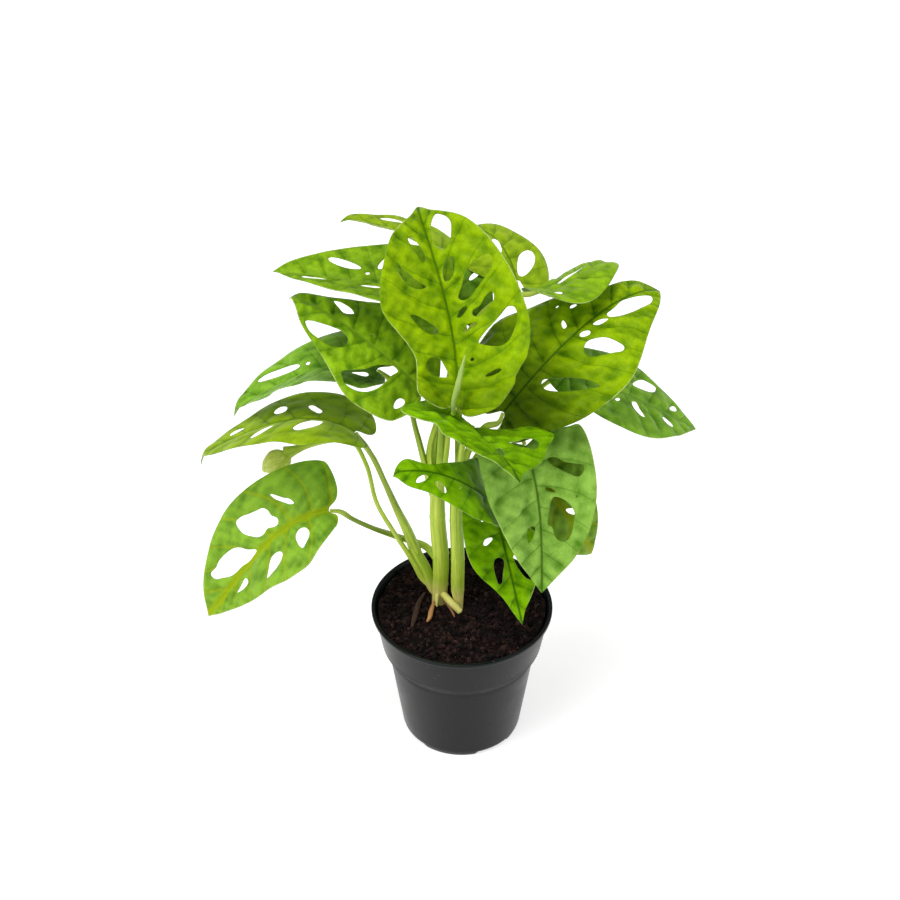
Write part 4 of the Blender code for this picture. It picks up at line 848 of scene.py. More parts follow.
def veinNumber(leaf, length, x, y):
    # Lateral veins leave the midrib at even steps and lean more and more towards the tip; a whole
    # number is on a vein. On the right half they come a third of a step sooner, and behind the
    # base they fan round it. Also the way between two
    width = widthOf(leaf)
    away = np.abs(y)
    bend = -0.25 * away + 0.3 * away ** 2 / width
    station = (x - bend) / (1 + 1.3 * away / length)
    number = leaf["veins"] * station / length
    spacing = np.full(len(x), length / leaf["veins"]) * 0.9
    behind = (np.arctan2(away, bend) - np.arctan2(away, x)) / 0.5
    fan = station < 0
    number = np.where(fan, behind, number)
    spacing = np.where(fan, np.hypot(x, y) * 0.5, spacing)
    sooner = np.where(y < 0, 0.35, 0.0)
    number = number + sooner * smoothStep(station, 0, 0.15 * length)
    return number + 0.10 * waves(x, y, 30, 5), spacing


def normalsOf(points, quads, halves):
    # At each point, the sum of its faces' normals, each taken from two directions across the face
    normals = np.zeros_like(points)
    for faces, (a, b, c, d) in ((quads, (0, 2, 1, 3)), (halves, (0, 1, 0, 2))):
        corners = points[faces]
        turned = np.cross(corners[:, b] - corners[:, a], corners[:, d] - corners[:, c])
        for k in range(faces.shape[1]):
            np.add.at(normals, faces[:, k], turned)
    return unit(normals)


def rimFaces(quads, halves, count):
    # A quad from top to bottom along each side that belongs to one face only
    sides = np.vstack([np.stack([ring, np.roll(ring, -1, axis=1)], -1).reshape(-1, 2)
                       for ring in (quads, halves)])
    key = np.sort(sides, axis=1)
    _, first, shared = np.unique(key[:, 0] * count + key[:, 1], return_index=True, return_counts=True)
    i, j = sides[first[shared == 1]].T
    return np.stack([j, i, i + count, j + count], -1)


def makeBlade(name, leaf, materials, seed):
    # The bent surface, lifted along its normals by pillows between creases, blisters and waves and
    # sunk along the midrib; the underside lies one thickness and the midrib's keel below it
    rib = bendMidrib(leaf)
    length = rib["reached"][-1]
    flat, depth, outer, quads, halves = cutBlade(leaf, length, blade["cell"], seed)
    x, y = flat[:, 0], flat[:, 1]
    away, toTip = np.abs(y), np.clip(x / length, 0, 1)
    number, spacing = veinNumber(leaf, length, x, y)
    reach = away / widthOf(leaf)
    crease = np.abs(np.sin(math.pi * number)) ** blade["creaseSharpness"]
    crease = 1 - (1 - crease) * (1 - blade["creaseLoss"] * np.clip(reach, 0, 1))
    blister = sum(share * waves(x, y, size, seed + 7 + order)
                  for order, (size, share) in enumerate(blade["blisterWaves"]))
    # painted shade and light from the relief: darker by the creases, lighter on the blisters
    reliefShade = np.clip(blade["creaseLight"] * crease + blade["blisterLight"] * blister
                     + blade["evenLight"], 0, 1)
    relief = blade["lateralRelief"] * (crease - 0.6) + blade["blister"] * blister
    relief *= leaf["quilt"] * (smoothStep(away, 0.3, 5) * smoothStep(depth, -1, 4))
    relief += blade["waviness"] * waves(x, y, blade["waveLength"], seed + 50) * smoothStep(away, 1, 12)
    groove = np.exp(-(away / blade["grooveWidth"]) ** 2) * (1 - 0.6 * toTip)
    relief -= blade["midribGroove"] * groove
    thin = blade["marginThickness"]
    half = (thin + (blade["thickness"] - thin) * smoothStep(depth, 0, blade["marginTaper"])) / 2
    keel = blade["midribKeel"] * np.exp(-(away / blade["keelWidth"]) ** 2) * (1 - 0.8 * toTip)
    keel *= smoothStep(depth, 0, 1.5)
    surface = placeOnBlade(leaf, rib, x, y)
    normals = normalsOf(surface, quads, halves)
    top = surface + normals * (relief + half)[:, None]
    bottom = surface + normals * (relief - half - keel)[:, None]
    count, one = len(flat), len(quads) + len(halves)
    rim = rimFaces(quads, halves, count)
    faces = [quads, halves, quads[:, ::-1] + count, halves[:, ::-1] + count, rim]
    slots = np.repeat([0, 1, 2], [one, one, len(rim)])
    flatAttribute = np.stack([x + seed * 7, y, outer], -1)
    veinAttribute = np.stack([number, spacing * (1 + 2 * reach), reliefShade], -1)
    # painted shade, darker towards the base and the tip of the blade
    nearBase, nearTip, shadeReach = leaf.get("paintedShade", (0, 0, 1))
    paintedShade = nearTip + (nearBase - nearTip) * (1 - smoothStep(x, 0.15 * shadeReach, shadeReach))
    addPiece(name.replace("leaf", "blade"), np.vstack([top, bottom]), faces, materials,
             replaced=name, slots=slots, facets=slots == 2,
             attributes={"flat": np.tile(flatAttribute, (2, 1)),
                         "veins": np.tile(veinAttribute, (2, 1)), "paintedShade": np.tile(paintedShade, 2)})


tops = {name: makeBladeMaterial(name + "Blade", tone, gloss) for name, tone in tones.items()}
under = makeBladeMaterial("bladeUnderside", underside, matte)
rimMaterial = makeRimMaterial()
for order, (name, leaf) in enumerate(leaves.items()):
    makeBlade(name, leaf, [tops[leaf["tone"]], under, rimMaterial], 100 * (order + 1))
print("leaves ready")


# Stalks: each route is a list of points with the radius there. The first is the cutting
# itself. A route with a leaf's name goes on to that leaf's notch.

mainStem = {
    "trunk": [(-15, 10, 72, 5.0), (-15, 10, 97, 5.2), (-14, 9, 131, 5.6), (-16, 9, 165, 5.4),
              (-16, 8, 190, 4.8), (-15, 6, 210, 3.4)],
    "leaf_crown": [(-15, 6, 190, 3), (-10, 6, 226, 2), (-9, 6, 254, 1.8), (-9, 0, 272, 1.6),
                   (-7, -16, 278.5, 1.5)],
    "leaf_mid_left": [(-15, 6, 192, 3), (-14, 5.5, 226, 2), (-14, 4, 245, 1.8)],
    "leaf_behind_crown": [(-16, 8, 184, 2.6), (-17, 14, 205, 2.1), (-16, 24, 226, 1.9),
                          (-10, 31, 253, 1.7), (-4, 40, 277, 1.5)],
    "leaf_rear_left": [(-17, 8, 180, 3), (-24, 8, 211, 2), (-29, 13, 232, 1.7),
                       (-36, 22, 256, 1.6)],
    "leaf_upper_left": [(-16, 7, 188, 3), (-21, 10, 218, 2), (-14, 20, 243, 1.8),
                        (-7, 29, 272, 1.6), (-6, 37, 300, 1.5)],
    "leaf_back_top": [(-15, 7, 186, 3), (-11, 22, 225, 2), (-6, 60, 262, 1.8),
                      (-3, 92, 288, 1.5)],
    "lowFork": [(-16, 10, 99, 1.6), (-20, 10, 107, 2.8), (-24, 11, 122, 3.6), (-30, 11, 136, 3.6),
                (-36, 10, 156, 2.8)],
    "leaf_low_left": [(-30, 11, 136, 3.4), (-36, 10, 156, 3), (-43, 10, 175, 2.2),
                      (-49, 9, 194, 1.9), (-56, 9, 214, 1.8)],
    "leaf_left_hanging": [(-16, 11, 130, 2.5), (-24, 16, 137, 2.2), (-35, 15, 143, 1.9),
                          (-46, 11, 151, 1.8), (-58, 2, 164, 1.6), (-70, -4, 176, 1.5)],
    "budStalk": [(-22, 10, 110, 2), (-26, 10, 115, 2.2), (-32, 9, 130, 1.9), (-45, 8, 157, 1.5),
                 (-55, 8, 180, 1.4), (-61, 11, 208, 1.4), (-70, 15, 224, 1.5), (-84, 22, 219, 1.7),
                 (-99, 26, 212, 1.9), (-106, 26, 209, 2.8), (-113, 26, 206, 4.6)],
    "paleStub": [(-13, 7, 105, 2.2), (-7, -2, 104, 2.4), (-1, -6, 99.5, 2.1)],
    "paleTip": [(-16, 7, 107, 1.6), (-16.6, 3, 103, 1.3), (-16.6, 0.5, 98.5, 0.4)],
    "spikeSheath": [(-7, -17, 278, 1.2), (-6, -26, 275.5, 1.3), (-6, -33, 278.5, 1.4)],
}
secondStem = {
    "trunk": [(-2, 2, 74, 2.2), (-2, 2, 97, 2.6), (-3, 3, 112, 4.2), (-3, 4, 136, 4.4),
              (-4, 6, 178, 4.0), (-2, 6, 207, 3.2)],
    "leaf_front_centre": [(-2, 5, 190, 2.5), (-1, 0, 222, 1.9), (1, -6, 243, 1.7)],
    "leaf_back_right": [(-2, 6, 192, 2.5), (-3, 17, 232, 2), (-4, 42, 262, 1.8),
                        (6, 58, 274, 1.6), (21, 67, 286, 1.5)],
    "leaf_right_large": [(-2, 6, 194, 2.5), (4, 5, 224, 2.2), (14, 2, 244, 1.9)],
    "leaf_right_folded": [(-3, 7, 190, 2.5), (-2, 23, 236, 1.9), (-2, 34, 274, 1.7),
                          (10, 38, 302, 1.5), (26, 40, 315, 1.4)],
    "leaf_far_right": [(-3, 6, 182, 2.5), (18, 20, 218, 1.9), (42, 29, 247, 1.6)],
    "leaf_front_right": [(-2, 5, 186, 2.5), (11, 10, 218, 1.8), (27, 3, 232, 1.6)],
    "leaf_right_behind": [(-3, 5, 176, 2.5), (11, 10, 204, 1.8), (27, 3, 222, 1.6)],
    "leaf_inner": [(-3, 6, 165, 2.5), (5, 9, 188, 1.8), (15, 8, 198, 1.6), (23, -4, 197.5, 1.5)],
    "leaf_front_low": [(-3, 5, 150, 2.5), (4, 8, 176, 1.7), (12, 7, 190, 1.5)],
}
stalk = {
    # each detail says the steps between two points of a route, and the sides
    "trunkDetail": (22, 56), "leafDetail": (14, 28), "smallDetail": (12, 24),
    "neckLength": 6.5, "endRadius": 1.2, "swelling": 0.24, "groove": 0.12, "wing": 0.22,
    "rib": 0.05, "crease": 0.09, "creases": (0.4, 2.3, 4.1, 5.3), "nodes": (0.28, 0.47, 0.7),
    "green": (0.28, 0.47, 0.010), "pale": (0.60, 0.73, 0.08), "line": (0.17, 0.29, 0.010),
    # the pale foot near the soil: its colour, and the heights between which it ends
    "foot": (0.80, 0.72, 0.22), "footEnd": (103, 120),
    "neck": (0.50, 0.64, 0.09), "shade": (0.45, 0.50, 0.35), "shadeFrom": (15, 55),
    "shaded": {"leaf_left_hanging": 1.0, "leaf_low_left": 0.7, "leaf_rear_left": 0.7,
               "leaf_mid_left": 0.6, "leaf_front_low": 0.5, "leaf_inner": 0.5},
}


def tube(route, steps, sides, section, offset):
    # Rings square to the route; each radius is the route's own times section(turn, way, length).
    # grain unrolls the tube for its lines, and toEnd is the way left to the route's end
    curve = smoothCurve(route, steps)
    centres, radii = curve[:, :3], curve[:, 3]
    along = unit(np.gradient(centres, axis=0))
    way = np.concatenate([[0], np.cumsum(np.linalg.norm(np.diff(centres, axis=0), axis=1))])
    across = [unit(np.cross(along[0], (0.3, 1.0, 0.2)))]
    for direction in along[1:]:
        across.append(unit(across[-1] - across[-1].dot(direction) * direction))
    across = np.array(across)
    other = np.cross(along, across)
    upperHalf = slice(-len(other) // 2, None)
    upper = math.atan2(other[upperHalf, 2].mean(), across[upperHalf, 2].mean())
    turn = np.arange(sides) * 2 * math.pi / sides
    reach = radii[:, None] * section(turn[None] - upper, way[:, None], way[-1])
    spread = across[:, None] * np.cos(turn)[None, :, None]
    spread = spread + other[:, None] * np.sin(turn)[None, :, None]
    rings = (centres[:, None] + reach[..., None] * spread).reshape(-1, 3)
    domes = along[[0, -1]] * radii[[0, -1], None] * 0.4
    points = np.vstack([rings, centres[0] - domes[0], centres[-1] + domes[1]])
    count = len(rings)
    here = np.arange(sides)
    there = (here + 1) % sides
    last = count - sides
    caps = np.vstack([np.stack([np.full(sides, count), there, here], -1),
                      np.stack([np.full(sides, count + 1), last + here, last + there], -1)])
    grain = np.stack([reach * np.cos(turn) + offset, reach * np.sin(turn) + offset,
                      np.repeat(way[:, None], sides, 1)], -1).reshape(-1, 3)
    grain = np.vstack([grain, grain[:1], grain[-1:]])
    toEnd = np.concatenate([np.repeat(way[-1] - way, sides), [way[-1], 0]])
    return {"points": points, "quads": gridFaces(len(centres), sides, True), "caps": caps,
            "grain": grain, "toEnd": toEnd}


def joinTubes(tubes):
    # Stacks closed tubes into one mesh
    shift = np.cumsum([0] + [len(part["points"]) for part in tubes])
    faces = [np.vstack([part[key] + move for part, move in zip(tubes, shift)])
             for key in ("quads", "caps")]
    attributes = {key: np.concatenate([part[key] for part in tubes])
                  for key in ("grain", "toEnd", "shaded")}
    return np.vstack([part["points"] for part in tubes]), faces, attributes


def petioleSection(turn, way, length):
    # Round, with a groove along its upper side between two low wings that end half way up, and
    # a swelling before the blade
    wingTurn = 0.62
    groove = stalk["groove"] * np.exp((np.cos(turn) - 1) * 9)
    wings = np.exp((np.cos(turn - wingTurn) - 1) * 40) + np.exp((np.cos(turn + wingTurn) - 1) * 40)
    wings = stalk["wing"] * wings * smoothStep(way, 0.62 * length, 0.42 * length)
    swelling = stalk["swelling"] * np.exp(-((length - way - 10) / 5) ** 2)
    return 1 - groove + wings + swelling


def trunkSection(turn, way, length):
    # A bundle of clasping stalk bases: a few rounded ribs and creases that climb slowly round it
    ribs = stalk["rib"] * np.cos(2 * turn + 0.8) + 0.035 * np.cos(3 * turn - 0.012 * way)
    creases = sum(stalk["crease"] * np.exp((np.cos(turn - start - 0.004 * way) - 1) * 60)
                  for start in stalk["creases"])
    rings = sum(stalk["rib"] * np.exp(-((way - place * length) / 1.3) ** 2)
                for place in stalk["nodes"])
    return 1 + ribs - creases + rings


def plainSection(turn, way, length):
    # Nearly round, with a few soft corners
    return 1 + 0.03 * np.cos(2 * turn) + 0.02 * np.cos(5 * turn + 0.05 * way)


def petioleRoute(name, points):
    # The last stretch bends up to the blade and ends in its notch
    leaf = leaves[name]
    rib = bendMidrib(leaf)
    base, along, up = rib["curve"][0], rib["along"][0], rib["up"][0]
    neck = math.radians(leaf.get("neck", 25))
    before = base - stalk["neckLength"] * (along * math.cos(neck) + up * math.sin(neck))
    end = base + (0.2 + 0.6 * math.cos(neck)) * along - 0.3 * up
    return points + [(*before, stalk["endRadius"] + 0.2), (*end, stalk["endRadius"])]


def startSkin(name, shine, glowRadius, glowScale):
    # A material with a soft glow under its skin, and the attribute that its lines follow
    material, tree, shader = newMaterial(name, {"Specular IOR Level": shine, "Subsurface Weight": 0.1,
                                                "Subsurface Radius": glowRadius,
                                                "Subsurface Scale": glowScale})
    return material, tree, shader, readAttribute(tree, "grain")


def makeStalkMaterial(name, tone):
    # Green with long pale and dark lines, paler in the soil and at the swelling before a blade
    material, tree, shader, grain = startSkin(name, 0.35, (0.8, 1.0, 0.3), 0.0015)
    broad = linesAlong(tree, grain, 3.2, 30.0)
    narrow = linesAlong(tree, grain, 0.7, 40.0)
    colour = mixColour(tree, broad, tone["green"], tone["pale"])
    colour = tint(tree, colour, narrow, 0.45, tone["line"])
    colour = tint(tree, colour, blotches(tree, grain, 9.0), 0.25, tone["pale"])
    colour = mixColour(tree, readAttribute(tree, "shaded", "Fac"), colour, tone["shade"], "MULTIPLY")
    height = addNode(tree, "SeparateXYZ", {0: placeInMillimetres(tree)})[2]
    foot = rampUp(tree, height, *tone["footEnd"], 0.95, 0.0)
    colour = mixColour(tree, foot, colour, tone["foot"])
    neck = rampUp(tree, readAttribute(tree, "toEnd", "Fac"), 7.0, 17.0, 0.6, 0.0)
    colour = mixColour(tree, neck, colour, tone["neck"])
    setInputs(tree, shader, {"Base Color": colour,
                             "Roughness": rampUp(tree, narrow, 0.0, 1.0, 0.38, 0.52)})
    addBump(tree, shader, narrow, 0.12, 0.5)
    return material


def makeStem(name, routes, material):
    # All routes of one cutting as one mesh; toEnd is far where a stalk carries no blade
    farFromBlade = 999
    tubes = []
    for order, (key, points) in enumerate(routes.items()):
        if key == "trunk":
            part = tube(points, *stalk["trunkDetail"], trunkSection, 0)
        elif key in leaves:
            part = tube(petioleRoute(key, points), *stalk["leafDetail"], petioleSection, 20 * order)
        else:
            part = tube(points, *stalk["smallDetail"], plainSection, 20 * order)
        if key not in leaves:
            part["toEnd"][:] = farFromBlade
        shade = smoothStep(part["grain"][:, 2], *stalk["shadeFrom"])
        part["shaded"] = stalk["shaded"].get(key, 0) * shade
        tubes.append(part)
    points, faces, attributes = joinTubes(tubes)
    addPiece(name.replace("stem", "stalks"), points, faces, [material], replaced=name,
             attributes=attributes)


stalkSkin = makeStalkMaterial("stalkSkin", stalk)
makeStem("stem_main", mainStem, stalkSkin)
makeStem("stem_second", secondStem, stalkSkin)
print("stalks ready")


# The rolled leaf, the bud and the two roots

rolledLeaf = {
    "route": [(-6, -34, 280, 0.9), (-5.5, -35, 288, 1.7), (-3.5, -34, 298, 1.8),
              (-1, -31, 309, 1.2), (1, -28, 316.5, 0.3)],
    "seam": 0.28, "green": (0.30, 0.48, 0.06), "pale": (0.52, 0.62, 0.22), "line": (0.20, 0.34, 0.04),
}
bud = {
    "route": [(-111.4, 26, 206.2, 2.2), (-114, 25, 204, 6), (-119, 24, 201, 8.2), (-124, 23, 198, 6),
              (-128, 22, 195, 1.5)],
    "green": (0.52, 0.62, 0.06), "pale": (0.76, 0.78, 0.22), "line": (0.34, 0.42, 0.04),
}
roots = {
    "root_orange": {"route": [(-18.5, 4.5, 99.5, 0.9), (-20.5, -4, 97.9, 1.6), (-21.5, -10, 97.4, 1.4),
                              (-23, -13, 97.1, 0.6)],
                    "green": (0.50, 0.22, 0.07), "pale": (0.68, 0.38, 0.16), "line": (0.30, 0.12, 0.05)},
    "root_brown": {"route": [(-11.6, 4.7, 99.5, 0.7), (-8, -1, 98.6, 0.8), (-6, -4.5, 97.4, 0.8),
                             (-5, -8, 96.9, 0.5)],
                   "green": (0.24, 0.09, 0.04), "pale": (0.45, 0.22, 0.10), "line": (0.12, 0.05, 0.03)},
}


def makeSkinMaterial(name, tone, roughness):
    # Long streaks of two colours with darker lines, for the small parts
    material, tree, shader, grain = startSkin(name, 0.4, (0.8, 0.8, 0.3), 0.001)
    narrow = linesAlong(tree, grain, 0.5, 14.0)
    colour = mixColour(tree, linesAlong(tree, grain, 2.0, 6.0), tone["green"], tone["pale"])
    colour = tint(tree, colour, narrow, 0.4, tone["line"])
    rough = rampUp(tree, narrow, 0.0, 1.0, roughness - 0.05, roughness + 0.08)
    setInputs(tree, shader, {"Base Color": colour, "Roughness": rough})
    addBump(tree, shader, narrow, 0.1, 0.5)
    return material


def rolledSection(turn, way, length):
    # A scroll's edge: the radius steps in at a seam that winds once round the spike
    seam = (turn - 2.2 - 2.5 * way / length) % (2 * math.pi)
    return 1.06 - rolledLeaf["seam"] * np.exp(-seam * 2.2) + 0.03 * np.cos(2 * turn)


def budSection(turn, way, length):
    # Overlapping folds: three rounded lobes that wind slowly, closed towards the tip
    lobes = 0.10 * np.cos(3 * turn + 1.2 * way / length)
    fold = 0.14 * np.exp(-((turn - 1.0 - 1.6 * way / length) % (2 * math.pi)) * 2.0)
    return 1 + lobes - fold


def makeSingle(piece, route, steps, sides, section, material, **marks):
    # One tube as a piece of its own
    part = tube(route, steps, sides, section, 0)
    addPiece(piece, part["points"], [part["quads"], part["caps"]], [material],
             attributes={"grain": part["grain"]}, **marks)


makeSingle("rolledSpike", rolledLeaf["route"], 16, 40, rolledSection,
           makeSkinMaterial("rolledSkin", rolledLeaf, 0.4), replaced="leaf_rolled")
makeSingle("budBody", bud["route"], 16, 64, budSection, makeSkinMaterial("budSkin", bud, 0.45),
           replaced="bud")
for name, root in roots.items():
    makeSingle(name.replace("_", "") + "Skin", root["route"], 12, 24, plainSection,
               makeSkinMaterial(name + "Skin", root, 0.6), replaced=name)
print("bud and roots ready")


# Pot: a profile turned about the upright axis, with notches in its foot and a drain hole over each

pot = {
    "height": 101.0, "rimRadius": 60.0, "baseRadius": 40.0, "wall": 1.3, "lipWidth": 2.2,
    "lipHeight": 2.5, "collarFootHeight": 73.0, "collarFootRadius": 53.5, "wallTopHeight": 65.5,
    "wallTopRadius": 49.0, "baseThickness": 4.5, "segments": 240, "step": 1.6, "pole": 0.02,
    "notches": 4, "notchFirst": -57.0, "notchSpan": 36.0, "notchHeight": 3.0, "notchInner": 27.0,
    "drainRadius": 4.0, "drainPlace": 32.0,
    "black": (0.003, 0.003, 0.003), "worn": (0.006, 0.006, 0.006), "lipTint": (0.002, 0.005, 0.004),
    "dust": (0.16, 0.13, 0.10), "dustFrom": 60.0, "stepRoughness": 0.22,
}


def roundedProfile(corners):
    # Each corner (radius, height, rounding) becomes four points on a curve between its two sides
    points = np.array([corner[:2] for corner in corners], float)
    rounded = [points[:1]]
    for i in range(1, len(corners) - 1):
        before, here, after = points[i - 1:i + 2]
        size = corners[i][2]
        start = here + unit(before - here) * min(size, np.linalg.norm(before - here) * 0.45)
        end = here + unit(after - here) * min(size, np.linalg.norm(after - here) * 0.45)
        t = np.array([0, 1 / 3, 2 / 3, 1])[:, None]
        rounded.append((1 - t) ** 2 * start + 2 * (1 - t) * t * here + t ** 2 * end)
    return np.vstack(rounded + [points[-1:]])


def splitLong(profile, step):
    # Adds points so that no stretch of the profile is longer than the step
    pieces = []
    for start, end in zip(profile, profile[1:]):
        count = max(1, math.ceil(np.linalg.norm(end - start) / step))
        pieces.append(start + (end - start) * np.linspace(0, 1, count, endpoint=False)[:, None])
    return np.vstack(pieces + [profile[-1:]])


def potCorners(shape):
    # The outside and the inside as corners (radius, height, rounding), from the base's centre up
    # to the rim and from the rim back down
    rim, top, lipFoot = shape["rimRadius"], shape["height"], shape["height"] - shape["lipHeight"]
    foot, floor, wall = shape["baseRadius"], shape["baseThickness"], shape["wall"]
    shoulder, wallTop = shape["wallTopRadius"], shape["wallTopHeight"]
    collar, collarFoot = shape["collarFootRadius"], shape["collarFootHeight"]
    outside = [(0, 0, 0), (foot - 1.2, 0, 0.5), (foot + 0.2, 3.5, 1.5), (shoulder, wallTop, 1.0),
               (collar - 0.6, collarFoot - 2, 0.8), (collar, collarFoot, 0.8),
               (rim - shape["lipWidth"], lipFoot - 1, 0.6), (rim, lipFoot, 0.6), (rim, top, 0.7)]
    inside = [(rim - 2.0, top, 0.6), (rim - 3.5, lipFoot, 0.8), (collar - wall, collarFoot, 0.8),
              (shoulder - wall, wallTop + 0.5, 0.8), (foot - wall, floor, 0.8), (0, floor, 0)]
    return outside, inside


def makePot(shape, material):
    # The profile turned about the upright axis. Under the foot the height rises to the notch's
    # own within its angle, and nearly to the floor within a drain hole
    outside, inside = potCorners(shape)
    profile = splitLong(roundedProfile(outside + inside), shape["step"])
    profile[:, 0] = np.maximum(profile[:, 0], shape["pole"])
    turn = np.arange(shape["segments"]) * 2 * math.pi / shape["segments"]
    radius, height = (profile[:, k][:, None] * np.ones(len(turn)) for k in (0, 1))
    onBottom = height < shape["notchHeight"]
    onBottom[len(profile) // 2:] = False
    step = 2 * math.pi / shape["notches"]
    fromNotch = np.abs((turn - math.radians(shape["notchFirst"]) + step / 2) % step - step / 2)
    half = math.radians(shape["notchSpan"] / 2)
    soft = 0.012  # radians over which a notch's side rises
    notch = smoothStep(-fromNotch, -half - soft, -half + soft)[None] * (radius > shape["notchInner"])
    height = np.where(onBottom, np.maximum(height, shape["notchHeight"] * notch), height)
    fromDrain = np.hypot(radius * np.cos(fromNotch) - shape["drainPlace"], radius * np.sin(fromNotch))
    drain = onBottom & (fromDrain < shape["drainRadius"])
    height = np.where(drain, shape["baseThickness"] - 0.4, height)
    points = np.stack([radius * np.cos(turn), radius * np.sin(turn), height], -1).reshape(-1, 3)
    addPiece("potShell", points, [gridFaces(len(profile), len(turn), True)], [material],
             replaced="pot")


def makePotMaterial(shape):
    # Satin black plastic: faint upright flow lines, paler scuffs, a tinted lip and grains of dust,
    # and duller where the collar steps out
    material, tree, shader = newMaterial("potPlastic", {"Specular IOR Level": 0.19})
    place = placeInMillimetres(tree)
    height = addNode(tree, "SeparateXYZ", {0: place})[2]
    flow = linesAlong(tree, place, 5.0, 60.0)
    scuffs = blotches(tree, place, 22.0, 5.0)
    fine = blotches(tree, place, 0.7)
    colour = mixColour(tree, weigh(tree, (flow, 0.25), (scuffs, 0.45)), shape["black"], shape["worn"])
    lip = rampUp(tree, height, shape["height"] - 4.0, shape["height"] - 2.6)
    colour = mixColour(tree, lip, colour, shape["lipTint"])
    dusty = rampUp(tree, height, shape["dustFrom"], 100.0, 0.05, 0.55)
    dusty = times(tree, dots(tree, place, 2.2, 0.05), dusty)
    colour = mixColour(tree, dusty, colour, shape["dust"])
    wallTop, collarFoot = shape["wallTopHeight"], shape["collarFootHeight"]
    step = times(tree, rampUp(tree, height, wallTop - 5.5, wallTop - 0.5),
                 rampUp(tree, height, collarFoot - 2.0, collarFoot + 3.0, 1.0, 0.0))
    rough = calc(tree, "ADD", rampUp(tree, scuffs, 0.0, 1.0, 0.26, 0.34), times(tree, dusty, 0.4))
    rough = calc(tree, "ADD", rough, times(tree, step, shape["stepRoughness"]))
    setInputs(tree, shader, {"Base Color": colour, "Roughness": rough})
    addBump(tree, shader, calc(tree, "ADD", times(tree, fine, 0.3), flow), 0.06, 0.35)
    return material


makePot(pot, makePotMaterial(pot))
print("pot ready")


# Soil: a bed with waves and grains, loose crumbs, chips of bark, fibres and pale specks

soil = {
    "top": 95.5, "bump": 0.8, "clearance": 0.35, "rings": 90, "segments": 320,
    "grains": [(8.0, 1.5), (3.6, 1.3), (1.7, 0.7)],  # size and height
    "rimRise": 3.2, "rimFrom": 44, "rimTo": 55,  # the soil climbs a little towards the pot's wall
    # places that stay clear of loose bits: centre and radius, for the two stems and the roots
    "clear": ((-15, 10, 7), (-2, 2, 6), (-20, -5, 4.5), (-23, -12, 3.5), (-7, -3, 5)),
    "crumbEdge": 54.6, "fibreEdge": 52, "fibres": 260,
    # each kind of lump: how many, size, stretch along its three sides, shade, and how deep it sinks
    "lumps": {
        "soilCrumbs": {"count": 2800, "size": (0.7, 4.2), "stretch": (1.15, 1.0, 0.85),
                       "shade": (0.05, 0.6), "sink": 0.25, "seed": 11},
        "soilChips": {"count": 90, "size": (0.9, 1.8), "stretch": (4.2, 1.1, 0.55),
                      "shade": (0.35, 0.68), "sink": 0.1, "seed": 12},
        "soilSpecks": {"count": 60, "size": (0.35, 0.9), "stretch": (1.3, 1.0, 0.8),
                       "shade": (0.86, 0.95), "sink": 0.0, "seed": 13},
    },
    "black": (0.0016, 0.0010, 0.0011), "brown": (0.013, 0.006, 0.006), "red": (0.050, 0.022, 0.019),
    "tan": (0.130, 0.080, 0.060), "pale": (0.40, 0.34, 0.30),
}
stick = {
    "route": [(-25, 16, 96.8, 1.0), (-29, 4, 97.6, 1.7), (-31, -8, 97.4, 1.8), (-33, -18, 96.6, 1.1)],
    "green": (0.045, 0.018, 0.013), "pale": (0.080, 0.035, 0.024), "line": (0.012, 0.005, 0.004),
}


def soilHeight(x, y):
    # The packed soil's low waves, and finer grains that fade where the stems and roots lie
    swell = (np.sin(x * 0.23 + 1.1) * np.cos(y * 0.19) + 0.6 * np.sin(x * 0.41 - y * 0.37)
             + 0.4 * np.cos(x * 0.11 + y * 0.53))
    swell = swell * np.minimum(1.0, np.hypot(x + 12, y + 2) / 40)
    swell = swell + soil["rimRise"] * smoothStep(np.hypot(x, y), soil["rimFrom"], soil["rimTo"])
    calm = smoothStep(np.hypot(x + 10, y + 1), 10, 24) * 0.75 + 0.25
    rough = sum(depth * grains(x + 300, y + 300, size, int(size * 10)) for size, depth in soil["grains"])
    return soil["top"] + soil["bump"] * swell + rough * calm - 0.3


def makeBed(material):
    # Rings of points from the centre to the wall, then down the pot's inside to its floor
    inside = potCorners(pot)[1]
    slope = (inside[1][0] - inside[2][0]) / (inside[1][1] - inside[2][1])
    edge = inside[2][0] - soil["clearance"] + slope * (soil["top"] - 1 - inside[2][1])
    turn = np.arange(soil["segments"]) * 2 * math.pi / soil["segments"]
    pole = 0.05  # the rings start and end just off the axis
    radius = np.linspace(pole, edge, soil["rings"])[:, None]
    x, y = radius * np.cos(turn), radius * np.sin(turn)
    rings = [np.stack([x, y, soilHeight(x, y)], -1).reshape(-1, 3)]
    down = [(edge, soil["top"] - 3)] + [(r - soil["clearance"], z) for r, z, _ in inside[2:5]]
    down.append((pole, pot["baseThickness"]))
    for r, z in down:
        level = np.full(len(turn), z + soil["clearance"])
        rings.append(np.stack([r * np.cos(turn), r * np.sin(turn), level], -1))
    points = np.vstack(rings)
    faces = gridFaces(soil["rings"] + len(down), soil["segments"], True)[:, ::-1]
    shade = 0.25 + 0.25 * grains(points[:, 0] + 90, points[:, 1] + 90, 2.0, 8)
    addPiece("soilBed", points, [faces], [material], replaced="soil", attributes={"shade": shade})


